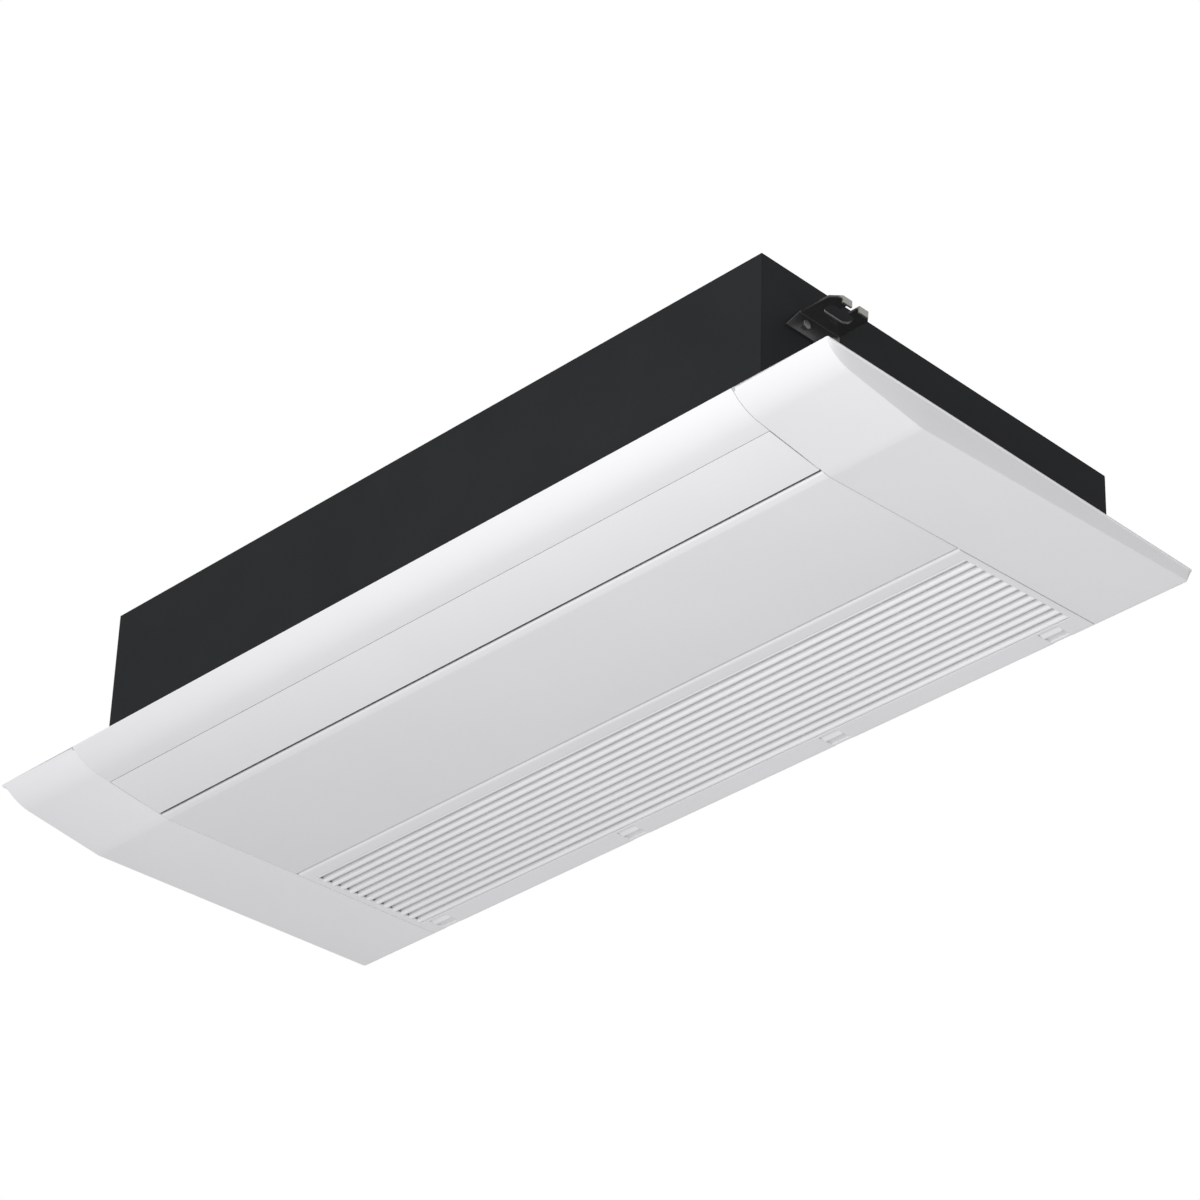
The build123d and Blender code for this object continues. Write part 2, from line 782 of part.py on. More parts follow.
def hinge_knuckle(x):
    """A knuckle on the grille's front edge with a pin out of both sides."""
    pivot_y, pivot_z = grille_pivot()
    half = hinge_width / 2
    knuckle = rod_x(hinge_up - 0.2, x - half, x + half, pivot_y, pivot_z)
    gusset = [
        (pivot_y, under(pivot_y, 0.8)),
        (pivot_y + 14, under(pivot_y + 14, 0.8)),
        (pivot_y + 14, under(pivot_y + 14, grille_wall)),
        (pivot_y, pivot_z + hinge_up - 0.2),
    ]
    knuckle += yz_prism(gusset, x - half, x + half)
    reach = half + ear_width + 2 * fit_gap
    return knuckle + rod_x(hinge_pin_radius, x - reach, x + reach, pivot_y, pivot_z)


def latch_front():
    """Y of the front edge of the latch wells."""
    return rim_rear - latch_notch


def latch_notch_space(x):
    """The notch in the rear strip that holds a latch and lets a finger reach it."""
    half = latch_width / 2 + fit_gap
    top = under(rim_rear, latch_floor_depth())
    return block(
        x - half, x + half, latch_front(), rim_rear - latch_back_rim, -panel_drop, top
    )


def latch_floor_depth():
    """How deep the flat part of a latch well's floor lies."""
    return fit_gap / 2 + latch_tab + fit_gap


def latch_well(x):
    """The well behind a latch: two cheeks and a floor with a slot for the latch's post."""
    half = latch_width / 2 + fit_gap
    wall = latch_floor_wall
    low, high = latch_floor_depth(), latch_floor_depth() + wall
    y0 = latch_front() - 0.5
    well = sloped_block(x - half - wall, x + half + wall, y0, rim_rear, low, high)
    for side in (-1, 1):
        inner, outer = x + side * half, x + side * (half + wall)
        well += sloped_block(min(inner, outer), max(inner, outer), y0, rim_rear, 0.0, high)
    slot_front = latch_flank_y(under(latch_front(), high)) - fit_gap
    slot_rear = latch_post_back() + latch_travel + fit_gap
    well -= block(
        x - latch_post - fit_gap, x + latch_post + fit_gap, slot_front, slot_rear, -panel_drop, 0
    )
    return well


def latch_post_back():
    """Y of the rear face of a latch's post."""
    return latch_front() + fit_gap + latch_depth - latch_post_rear


def snap_rise():
    """Rise of a nose's flank per millimetre of Y."""
    return tan(radians(snap_slope))


def catch_nose():
    """Tip of a catch's nose in the YZ plane, just clear of the well's floor."""
    tip_y = latch_front() + fit_gap + snap_in + snap_grip
    low = under(tip_y, latch_floor_depth() + latch_floor_wall + fit_gap)
    return tip_y, low + snap_nose * snap_rise()


def latch_nose():
    """Tip of a latch's nose; its lower flank lies snap_gap off the catch's upper flank."""
    catch_y, catch_z = catch_nose()
    lift = snap_grip * snap_rise() + snap_gap / cos(radians(snap_slope))
    return catch_y - snap_grip, catch_z + lift


def latch_flank_y(z):
    """Y of the leaning front of a latch's post at a height below its nose."""
    nose_y, nose_z = latch_nose()
    return nose_y + (nose_z - z) / snap_rise()


def grille_latch(x):
    """A sliding latch: a wedge for the finger below and a leaning post with a nose above."""
    half = latch_width / 2
    y0 = latch_front() + fit_gap
    y1 = y0 + latch_depth
    back = fit_gap / 2 + latch_tab
    wedge = [
        (y0, under(y0, latch_recess)), (y1, under(y1, -latch_proud)),
        (y1, under(y1, back)), (y0, under(y0, back)),
    ]
    nose_y, nose_z = latch_nose()
    top_z = plate_z - fit_gap
    rear_y = latch_post_back()
    foot_z = under(rear_y, back - fit_gap)
    post = [
        (latch_flank_y(foot_z), foot_z), (nose_y, nose_z),
        (nose_y + (top_z - nose_z) / snap_rise(), top_z), (rear_y, top_z), (rear_y, foot_z),
    ]
    return yz_prism(wedge, x - half, x + half) + yz_prism(post, x - latch_post, x + latch_post)


def latch_catch(x):
    """The frame's catch: a leaning wall down from the plate with its nose under the latch's."""
    tip_y, tip_z = catch_nose()
    low_z = tip_z - snap_nose * snap_rise()
    head_y = tip_y - (plate_z - tip_z) / snap_rise()
    outline = [
        (head_y - catch_wall, low_z), (tip_y - snap_nose, low_z), (tip_y, tip_z),
        (head_y, plate_z), (head_y - catch_wall, plate_z),
    ]
    half = latch_post + catch_side
    return yz_prism(outline, x - half, x + half)


def air_filter():
    """The washable filter: a thin rim and bars that carry its net."""
    lift = slat_height + 0.6 + fit_gap
    x0, x1, y0, y1 = intake_box()
    x0, x1 = x0 + 3, x1 - 3
    y0, y1 = y0 + 3, y1 - 3
    top = lift + filter_thickness
    whole = sloped_block(x0, x1, y0, y1, lift, top)
    inner_x = (x0 + filter_rim, x1 - filter_rim)
    inner_y = (y0 + filter_rim, y1 - filter_rim)
    step_x = (inner_x[1] - inner_x[0] - filter_bar * filter_bars_cross) / (filter_bars_cross + 1)
    step_y = (inner_y[1] - inner_y[0] - filter_bar * filter_bars_long) / (filter_bars_long + 1)
    for i in range(filter_bars_cross + 1):
        for j in range(filter_bars_long + 1):
            hole_x = inner_x[0] + i * (step_x + filter_bar)
            hole_y = inner_y[0] + j * (step_y + filter_bar)
            whole -= sloped_block(
                hole_x, hole_x + step_x, hole_y, hole_y + step_y, lift + 0.6, top + 1
            )
    return whole


# ---------------------------------------------------------------- casing
def casing_top():
    """The top sheet with a short flange down each side, inside the walls."""
    top = block(body_left, body_right, body_front, body_rear, ceiling_inside, body_top)
    lower = block(
        body_left + sheet, body_right - sheet, body_front + sheet, body_rear - sheet,
        ceiling_inside - 10, ceiling_inside,
    )
    lower -= block(
        body_left + 2 * sheet, body_right - 2 * sheet,
        body_front + 2 * sheet, body_rear - 2 * sheet,
        ceiling_inside - 11, ceiling_inside,
    )
    return top + lower


def long_wall(outer_y, inward):
    """A long side sheet with a foot flange turned inwards."""
    inner_y = outer_y + inward * sheet
    low, high = min(outer_y, inner_y), max(outer_y, inner_y)
    wall = block(body_left, body_right, low, high, seat_z, ceiling_inside)
    edge_y = outer_y + inward * flange
    low, high = min(outer_y, edge_y), max(outer_y, edge_y)
    x0, x1 = body_left + sheet, body_right - sheet
    return wall + block(x0, x1, low, high, seat_z, seat_z + sheet)


def casing_front():
    """The plain front sheet."""
    return drill_frame_screws(long_wall(body_front, 1))


def casing_rear():
    """The rear sheet, with the cable entry by the electrical box."""
    wall = drill_frame_screws(long_wall(body_rear, -1))
    x, z = cable_entry()
    return wall - rod_y(grommet_neck_radius, body_rear - 5, body_rear + 5, x, z)


def end_wall(outer_x, inward):
    """An end sheet between the long walls, with a foot flange turned inwards."""
    y0, y1 = body_front + sheet, body_rear - sheet
    inner_x = outer_x + inward * sheet
    low, high = min(outer_x, inner_x), max(outer_x, inner_x)
    wall = block(low, high, y0, y1, seat_z, ceiling_inside)
    edge_x = outer_x + inward * flange
    low, high = min(outer_x, edge_x), max(outer_x, edge_x)
    foot = block(low, high, body_front + flange, body_rear - flange, seat_z, seat_z + sheet)
    return drill_frame_screws(wall + foot)


def drill_frame_screws(wall):
    """Holes in the foot flanges for the panel's screws."""
    for x, y in frame_screw_places():
        wall -= rod_z(screw_radius + running_gap, seat_z - 1, seat_z + sheet + 1, x, y)
    return wall


def casing_left_end():
    """The service end: holes for the two pipes and the drain."""
    wall = end_wall(body_left, 1)
    for y, z, radius in service_holes():
        wall -= rod_x(radius + fit_gap, body_left - 2, body_left + 3, y, z)
    return wall


def service_holes():
    """Y, Z and radius of what passes through the left end."""
    gas_y, gas_z = coil_point(0.3)
    liquid_y, liquid_z = coil_point(-0.25)
    drain_z = pump_top() + 3 + drain_radius
    return [
        (gas_y, gas_z, gas_radius), (liquid_y, liquid_z, liquid_radius),
        (pump_y, drain_z, drain_radius - drain_pipe_step),
    ]


# ---------------------------------------------------------------- hanging brackets
def bracket_flat():
    """A bracket in its own frame: wall at X = 0, reaching out along +X, underside at Z = 0."""
    half = bracket_width / 2
    reach = bracket_reach
    outline = Polyline(
        (0, -half), (reach - bracket_chamfer, -half), (reach, -half + bracket_chamfer),
        (reach, half - bracket_chamfer), (reach - bracket_chamfer, half), (0, half),
        close=True,
    )
    plate = extrude(make_face(outline), amount=bracket_sheet)
    slot = Pos(rod_slot_out, 0, 0) * Rot(0, 0, 90) * SlotOverall(rod_slot_length, rod_slot_width)
    plate -= Pos(0, 0, -1) * extrude(slot, amount=bracket_sheet + 2)
    plate -= block(rod_slot_out, reach + 1, -rod_mouth / 2, rod_mouth / 2, -1, bracket_sheet + 1)
    for side in (-1, 1):
        near = side * (rod_mouth / 2)
        far = side * (half - bracket_chamfer)
        low, high = min(near, far), max(near, far)
        plate += block(reach - bracket_sheet, reach, low, high, -bracket_lip, bracket_sheet)
    foot = Plane.YZ * make_face(
        Polyline(
            (-half, bracket_sheet), (half, bracket_sheet),
            (half, -bracket_foot), (-half - bracket_flare, -bracket_foot),
            close=True,
        )
    )
    bracket = plate + extrude(foot, amount=bracket_sheet)
    for y in bracket_screw_offsets():
        bracket -= Pos(0, y, -bracket_foot / 2) * Rot(0, 90, 0) * Cylinder(
            screw_radius + running_gap, 12
        )
    return bracket


def bracket_screw_offsets():
    """Across the foot, the two screws of one bracket."""
    return -bracket_width / 2 + 6, bracket_width / 2 - 10


def bracket_places():
    """Where each bracket's own frame sits, with its hand: ends at the front, back at the rear."""
    front = [
        (Pos(body_right, bracket_front_y, bracket_level), 1),
        (Pos(body_left, bracket_front_y, bracket_level) * Rot(0, 0, 180), -1),
    ]
    rear = [
        (Pos(body_right - bracket_rear_inset, body_rear, bracket_level) * Rot(0, 0, 90), -1),
        (Pos(body_left + bracket_rear_inset, body_rear, bracket_level) * Rot(0, 0, 90), 1),
    ]
    return front, rear


def hangers(places):
    """Two brackets put in place, each with the hand that its place asks for."""
    flat = bracket_flat()
    other = mirror(flat, about=Plane.XZ)
    return group([place * (flat if hand > 0 else other) for place, hand in places])


def bracket_screws():
    """Two screws through each bracket's foot into the casing wall."""
    front, rear = bracket_places()
    screws = []
    for place, hand in front + rear:
        for offset in bracket_screw_offsets():
            at = place * Pos(0, hand * offset, -bracket_foot / 2) * Rot(0, 90, 0)
            shank = Pos(0, 0, bracket_sheet / 2) * Cylinder(screw_radius, bracket_sheet)
            hexagon = Pos(0, 0, bracket_sheet) * RegularPolygon(screw_head_radius, 6)
            head = extrude(hexagon, amount=screw_head)
            screws.append(at * (shank + head))
    return group(screws)


# ---------------------------------------------------------------- fan chamber
def scroll_point(angle, gap_share):
    """A point on the spiral, angle degrees above +Y, at a share of the way from gap to outlet."""
    wide = fan_y - outlet_outer_y - fan_radius
    radius = fan_radius + scroll_gap + (wide - scroll_gap) * gap_share**1.4
    return fan_y + radius * cos(radians(angle)), fan_z + radius * sin(radians(angle))


def scroll_housing():
    """The foam scroll over the fan, which widens from its lip to the outlet's outer wall."""
    steps = 6
    spiral = []
    for i in range(steps + 1):
        angle = scroll_start + (180 - scroll_start) * i / steps
        spiral.append(scroll_point(angle, i / steps))
    wall_top = ceiling_inside - foam_gap
    front = body_front + sheet + foam_gap
    lip_y = spiral[0][0]
    foot_z = seat_z + sheet + foam_gap
    curves = [
        Spline(*spiral),
        Line(spiral[-1], (outlet_outer_y, foot_z)),
        Line((outlet_outer_y, foot_z), (front, foot_z)),
        Line((front, foot_z), (front, wall_top - 11)),
        Line((front, wall_top - 11), (front + 12, wall_top - 11)),
        Line((front + 12, wall_top - 11), (front + 12, wall_top)),
        Line((front + 12, wall_top), (lip_y, wall_top)),
        Line((lip_y, wall_top), spiral[0]),
    ]
    scroll = yz_shape(curves, chamber_left, chamber_right)
    x, y0, z = louver_motor_place()
    scroll -= rod_y(
        step_radius + fit_gap, y0 - step_length - 1, outlet_outer_y + 1, x, z
    )
    return scroll


def stabiliser():
    """The tongue under the fan, whose back is the outlet's inner wall."""
    nose_y = fan_y + 7.0
    nose_z = fan_z - fan_radius - scroll_gap
    foot_z = seat_z + fit_gap
    points = [
        (nose_y, nose_z - 3.0),
        (nose_y + 3.0, nose_z - 0.5),
        (pan_front_y - fit_gap, nose_z - 1.5),
        (pan_front_y - fit_gap, foot_z),
        (outlet_inner_y + 4.0, foot_z),
        (outlet_inner_y, foot_z),
    ]
    return yz_prism(points, chamber_left, chamber_right)


def fan_end_wall(x0, hole_radius):
    """The sheet that closes one end of the fan chamber round the fan's boss."""
    y0, y1 = body_front + sheet + foam_gap, coil_front_y() - 6
    z0, z1 = seat_z + sheet + foam_gap, ceiling_inside - foam_gap
    wall = block(x0, x0 + chamber_wall, y0 + 13, y1, z0, z1 - 11)
    wall += block(x0, x0 + chamber_wall, y0 + 13, y1 - 30, z1 - 12, z1)
    wall -= block(x0 - 1, x0 + chamber_wall + 1, pan_front_y - 2, y1 + 1, z0 - 1, pan_top() + 2)
    return wall - rod_x(hole_radius, x0 - 1, x0 + chamber_wall + 1, fan_y, fan_z)


def fan_ends():
    """Left and right ends of the blades' span."""
    return chamber_left + fan_end_gap, chamber_right - fan_end_gap


def fan_rotor():
    """The cross-flow rotor: curved blades that run through thin discs, with a boss each end."""
    left, right = fan_ends()
    outer = fan_radius
    rotor = None
    for i in range(fan_sections + 1):
        x = left + (right - left - fan_disc) * i / fan_sections
        disc = rod_x(outer, x, x + fan_disc, fan_y, fan_z)
        if 0 < i < fan_sections:
            disc -= rod_x(outer - blade_chord - 5, x - 1, x + fan_disc + 1, fan_y, fan_z)
        rotor = disc if rotor is None else rotor + disc
    blades = [fan_blade(360.0 * i / fan_blades, left, right) for i in range(fan_blades)]
    rotor += blades
    rotor += rod_x(fan_boss_radius, left - 4, left + 12, fan_y, fan_z)
    rotor += rod_x(fan_boss_radius, right - 8, right + 2, fan_y, fan_z)
    rotor -= rod_x(shaft_radius, left - 5, left + 11, fan_y, fan_z)
    rotor += rod_x(shaft_radius, right, right + fan_end_gap + chamber_wall + 10, fan_y, fan_z)
    return rotor


def fan_blade(angle, left, right):
    """One blade: a thin bowed strip set forward of the radius, drawn along the fan."""
    root = fan_radius - blade_chord - 1.2
    tip = fan_radius - 0.8
    lead = 7.0
    start = (root, 0.0)
    end = (tip * cos(radians(lead)), tip * sin(radians(lead)))
    mid = ((start[0] + end[0]) / 2 + 0.4, (start[1] + end[1]) / 2 - blade_sagitta)
    inner = (mid[0] - 0.3, mid[1] + blade_thickness)
    curves = [
        ThreePointArc(start, mid, end),
        ThreePointArc(end, inner, start),
    ]
    face = make_face(Curve() + curves)
    strip = Plane.YZ.offset(left) * (Rot(0, 0, angle) * face)
    return Pos(0, fan_y, fan_z) * extrude(strip, amount=right - left)


def fan_shaft():
    """The motor's shaft, which carries the fan's left boss."""
    left, _ = fan_ends()
    return rod_x(shaft_radius, motor_face() - motor_length + 6, left + 11, fan_y, fan_z)


def motor_face():
    """Where the fan motor's front face stands, behind the chamber's left wall."""
    return chamber_left - chamber_wall - 4.0


def fan_motor():
    """The fan motor: a ribbed round body bored for its shaft."""
    face = motor_face()
    body = rod_x(motor_radius, face - motor_length, face - 8, fan_y, fan_z)
    body += rod_x(motor_radius - 6, face - 8, face - 3, fan_y, fan_z)
    body += rod_x(12.0, face - 3, face, fan_y, fan_z)
    body -= rod_x(shaft_radius + running_gap, face - motor_length + 5, face + 1, fan_y, fan_z)
    return body


def motor_bracket():
    """The sheet strap that holds the fan motor up against the casing's top."""
    face = motor_face()
    x0, x1 = face - motor_length + 10, face - 14
    ring = rod_x(motor_radius + 2.0, x0, x1, fan_y, fan_z)
    ring -= rod_x(motor_radius, x0 - 1, x1 + 1, fan_y, fan_z)
    half = motor_radius + 16
    ears = block(x0, x1, fan_y - half, fan_y - motor_radius - 1, fan_z - 1.5, fan_z + 1.5)
    ears += block(x0, x1, fan_y + motor_radius + 1, fan_y + half, fan_z - 1.5, fan_z + 1.5)
    for side in (-1, 1):
        near = fan_y + side * half
        far = near - side * 2.0
        low, high = min(near, far), max(near, far)
        ears += block(x0, x1, low, high, fan_z - 1.5, ceiling_inside)
    return ring + ears


def fan_bearing():
    """The rubber-mounted bearing in the chamber's right wall."""
    x0 = chamber_right + chamber_wall
    bush = rod_x(14.0, x0, x0 + 3, fan_y, fan_z) + rod_x(9.7, x0 - chamber_wall, x0 + 9, fan_y, fan_z)
    return bush - rod_x(shaft_radius + running_gap, x0 - 5, x0 + 12, fan_y, fan_z)


# ---------------------------------------------------------------- louvers
def louver_places():
    """X of each louver's pivot, evenly spread along the outlet."""
    pitch = (chamber_right - chamber_left) / louver_count
    return [chamber_left + pitch * (i + 0.5) for i in range(louver_count)]


def carrier_face():
    """Y of the louver carrier's room-side face."""
    return outlet_outer_y + foam_gap + carrier_thickness


def louver(x, pin_end):
    """One upright blade with its pivot pin, out to pin_end, and its crank pin."""
    blade_y0 = carrier_face() + link_thickness + 3 * fit_gap + 0.6
    inner_y = outlet_inner_y - 5.0
    points = [
        (blade_y0, louver_foot_z),
        (inner_y, louver_foot_z),
        (inner_y, louver_foot_z + 11),
        (inner_y - 26, louver_pivot_z - 4),
        (blade_y0, louver_pivot_z + 14),
    ]
    half = louver_sheet / 2
    blade = yz_prism(points, x - half, x + half)
    blade += rod_y(louver_pin + 1.6, carrier_face() + fit_gap, blade_y0 + 3, x, louver_pivot_z)
    blade += rod_y(louver_pin, pin_end, blade_y0, x, louver_pivot_z)
    crank_z = louver_pivot_z - louver_crank
    blade += rod_y(louver_crank_pin + 1.2, blade_y0 - 0.6, blade_y0 + 2.5, x, crank_z)
    blade += rod_y(louver_crank_pin, carrier_face() + fit_gap, blade_y0, x, crank_z)
    return blade


def louver_carrier():
    """The strip on the outlet's outer wall that the louvers are pinned to."""
    half = carrier_height / 2
    strip = block(
        chamber_left + 4, chamber_right - 4, outlet_outer_y + foam_gap, carrier_face(),
        louver_pivot_z - half, louver_pivot_z + half,
    )
    for x in louver_places():
        strip -= rod_y(
            louver_pin + running_gap, outlet_outer_y - 1, carrier_face() + 1, x, louver_pivot_z
        )
    return strip


def louver_link_bar():
    """The bar that joins all crank pins, so the louvers swing together."""
    xs = louver_places()
    y0 = carrier_face() + 2 * fit_gap
    crank_z = louver_pivot_z - louver_crank
    bar = block(
        xs[0] - 6, xs[-1] + 6, y0, y0 + link_thickness,
        crank_z - link_height / 2, crank_z + link_height / 2,
    )
    for x in xs:
        bar -= rod_y(louver_crank_pin + running_gap, y0 - 1, y0 + link_thickness + 1, x, crank_z)
    return bar


def louver_motor_place():
    """X, Y of its front face and Z of the louver stepper, in line with the first louver."""
    return louver_places()[0], outlet_outer_y, louver_pivot_z


def louver_motor():
    """The stepper behind the outlet's outer wall that swings the louvers."""
    x, face_y, z = louver_motor_place()
    body = rod_y(step_radius, face_y - step_length, face_y, x, z)
    return body - rod_y(step_shaft + running_gap, face_y - 7, face_y + 1, x, z)


# ---------------------------------------------------------------- heat exchanger
def coil_point(share, across=0.0):
    """A point on the coil's middle plane, a share of its height up from its centre."""
    along = coil_height * share
    tilt = radians(coil_tilt)
    y = coil_y - along * cos(tilt) + across * sin(tilt)
    z = coil_z + along * sin(tilt) + across * cos(tilt)
    return y, z


def coil_front_y():
    """The coil's foremost point."""
    y, _ = coil_point(0.5, -coil_thickness / 2)
    return y


def coil_slab(x0, x1, grow):
    """The leaning slab between x0 and x1, grown all round."""
    high = 0.5 + grow / coil_height
    wide = coil_thickness / 2 + grow
    corners = [(-high, -wide), (high, -wide), (high, wide), (-high, wide)]
    return yz_prism([coil_point(share, across) for share, across in corners], x0, x1)


def coil_fins():
    """The fin block, cut by shallow grooves that mark its fins' packs."""
    x0, x1 = chamber_left + coil_plate, chamber_right - coil_plate
    fins = coil_slab(x0, x1, 0.0)
    packs = 12
    for i in range(1, packs):
        x = x0 + (x1 - x0) * i / packs
        ring = coil_slab(x - 0.8, x + 0.8, 2.0) - coil_slab(x - 1, x + 1, -1.5)
        fins -= ring
    return fins


def coil_end_plates():
    """The sheet plates that carry the coil's tubes at both ends and stand on the pan."""
    plates = []
    for x0 in (chamber_left, chamber_right - coil_plate):
        plate = coil_slab(x0, x0 + coil_plate, 0.0)
        y, _ = coil_point(-0.5, 0.0)
        leg = block(x0, x0 + coil_plate, y - 9, y + 9, pan_floor_z + pan_wall, coil_point(-0.5, 0)[1] + 6)
        plates.append(plate + leg)
    return group(plates)


def coil_bends():
    """Hairpin bends across the coil's two tube rows, outside both end plates."""
    bends = []
    for side, x in ((-1, chamber_left), (1, chamber_right)):
        for row in range(coil_rows):
            share = (row - (coil_rows - 1) / 2) / coil_rows * 0.96
            bends.append(hairpin(x, side, share))
    return group(bends)


def hairpin(x, side, share):
    """One half-round bend that joins two tube ends on the outside of an end plate."""
    y, z = coil_point(share, 0.0)
    section = Plane.XZ * Pos(tube_row_gap / 2, 0, 0) * RegularPolygon(tube_radius, tube_sides)
    bend = revolve(section, axis=Axis.Z, revolution_arc=180)
    turn = -side * 90
    upright = Rot(0, 0, turn) * bend
    lean = Rot(coil_tilt_turn(), 0, 0) * upright
    return Pos(x, y, z) * lean


def coil_tilt_turn():
    """The turn about X that lays a flat bend across the coil's thickness."""
    return 90 - coil_tilt


def pipe(share, radius, wall):
    """A straight copper stub from the coil's left plate out through the casing's left end."""
    y, z = coil_point(share)
    end = body_left - pipe_stub
    tube = rod_x(radius, end, chamber_left - 14, y, z)
    tube += rod_x(radius + 2.6, end + 14, end + 22, y, z)
    return tube - rod_x(radius - wall, end - 1, end + 30, y, z)


# ---------------------------------------------------------------- drain
def pan_top():
    """Height of the pan's long walls."""
    return pan_floor_z + pan_height


def drain_pan():
    """The tray under the coil, with a sump for the pump in the service bay."""
    left = body_left + sheet + 4
    right = body_right - sheet - 6
    pan = block(left, right, pan_front_y, pan_rear_y, pan_floor_z, pan_top())
    pan += block(left, chamber_left - 6, pan_rear_y - 1, sump_rear_y, pan_floor_z, pan_top())
    inside = block(
        left + pan_wall, right - pan_wall, pan_front_y + pan_wall,
        pan_rear_y - pan_wall, pan_floor_z + pan_wall, pan_top() + 1,
    )
    inside += block(
        left + pan_wall, chamber_left - 6 - pan_wall, pan_rear_y - pan_wall - 1,
        sump_rear_y - pan_wall, pan_floor_z + pan_wall, pan_top() + 1,
    )
    return pan - inside


def pump_x():
    """X of the pump's axis, in the middle of the service bay."""
    return body_left + service_bay / 2


def pump_foot():
    """Height of the pump's open mouth above the sump's floor."""
    return pan_floor_z + pan_wall + 4.0


def pump_top():
    """Height of the pump's flat top, where its strap lies."""
    return pump_foot() + pump_mouth + pump_height


def drain_pump():
    """The drain pump: a motor body over a mouth that opens into the sump."""
    x, y = pump_x(), pump_y
    foot = pump_foot()
    body = rod_z(pump_mouth_radius, foot, foot + pump_mouth, x, y)
    body += rod_z(pump_radius, foot + pump_mouth, pump_top(), x, y)
    body -= rod_z(impeller_radius + impeller_gap, foot - 1, foot + pump_mouth - pump_floor, x, y)
    body -= rod_z(impeller_shaft + running_gap, foot, foot + pump_mouth + impeller_seat + 1, x, y)
    half = pump_strap_width / 2
    reach = pump_radius + pump_strap_out
    body += block(x - half, x + half, y - reach, y + reach, pump_top(), pump_top() + pump_strap)
    for side in (-1, 1):
        near = y + side * reach
        far = near - side * pump_strap
        low, high = min(near, far), max(near, far)
        body += block(x - half, x + half, low, high, pump_top(), ceiling_inside)
    return body


def pump_impeller():
    """Four flat vanes on the pump's stub shaft."""
    x, y = pump_x(), pump_y
    foot = pump_foot()
    low = foot + impeller_lift
    wheel = rod_z(impeller_shaft + 1.0, low, low + impeller_height, x, y)
    wheel += rod_z(impeller_shaft, low, foot + pump_mouth + impeller_seat, x, y)
    for i in range(impeller_vanes):
        paddle = Box(impeller_radius, impeller_wall, impeller_height)
        turn = Rot(0, 0, 360.0 / impeller_vanes * i)
        wheel += Pos(x, y, low + impeller_height / 2) * turn * Pos(impeller_radius / 2, 0, 0) * paddle
    return wheel


def drain_pipe():
    """The pump's outlet: an elbow from its side and a spigot out through the left end."""
    _, z, radius = service_holes()[2]
    x = pump_x() - pump_radius + drain_elbow_in
    outer_end = body_left - spigot_gap - spigot_length
    pipe_run = rod_x(drain_radius, outer_end, body_left - spigot_gap, pump_y, z)
    pipe_run += rod_x(radius, body_left - spigot_gap, x + radius / 3, pump_y, z)
    pipe_run += rod_z(drain_elbow_radius, pump_top() + 2, z, x, pump_y)
    return pipe_run - rod_x(radius - drain_pipe_wall, outer_end - 1, x, pump_y, z)


def float_switch():
    """The level switch's stem, hung from a tab on the casing's top."""
    x, y = float_place()
    low = pan_floor_z + pan_wall + 1.0
    stem = rod_z(float_stem_radius, low, ceiling_inside, x, y)
    return stem + rod_z(float_stem_radius + 2.5, low, low + 1.5, x, y)


def float_place():
    """X and Y of the level switch."""
    return pump_x(), pan_rear_y - 10.0


def level_float():
    """The float that rides up the stem with the water."""
    x, y = float_place()
    low = pan_floor_z + pan_wall + 2.6
    ring = rod_z(float_radius, low, low + 12, x, y)
    return ring - rod_z(float_stem_radius + running_gap, low - 1, low + 13, x, y)


# ---------------------------------------------------------------- electrical box
def box_bounds():
    """Low and high corners of the electrical box in X, Y and Z."""
    x1 = body_right - sheet - 3
    y1 = body_rear - sheet - 3
    return x1 - box_length, x1, box_front_y, y1, box_floor_z, ceiling_inside - 11


def control_box():
    """The sheet box in the intake chamber's right end, open below for its lid."""
    x0, x1, y0, y1, z0, z1 = box_bounds()
    box = block(x0, x1, y0, y1, z0, z1)
    inner = block(
        x0 + box_sheet, x1 - box_sheet, y0 + box_sheet, y1 - box_sheet, z0 - 1, z1 - box_sheet
    )
    x, z = cable_entry()
    box -= inner
    box -= rod_y(grommet_neck_radius, y1 - 3, y1 + 3, x, z)
    return box + block(x0 + 10, x0 + 26, y0 + 20, y1 - 20, z1, ceiling_inside)


def control_box_lid():
    """The flat lid under the box, with a turned edge."""
    x0, x1, y0, y1, z0, _ = box_bounds()
    lid = block(x0, x1, y0, y1, z0 - box_sheet, z0)
    rim_out = block(
        x0 + box_sheet + 0.3, x1 - box_sheet - 0.3,
        y0 + box_sheet + 0.3, y1 - box_sheet - 0.3, z0, z0 + 5,
    )
    rim_in = block(
        x0 + 2 * box_sheet + 0.3, x1 - 2 * box_sheet - 0.3,
        y0 + 2 * box_sheet + 0.3, y1 - 2 * box_sheet - 0.3, z0, z0 + 6,
    )
    return lid + (rim_out - rim_in)


def board_place():
    """Low and high corners of the circuit board in X, Y and Z."""
    x0, x1, y0, y1, _, z1 = box_bounds()
    rear = y1 - terminal_rear - terminal_depth - board_inset
    top = z1 - board_gap
    return x0 + board_inset, x1 - board_inset, y0 + board_inset, rear, top - board_sheet, top


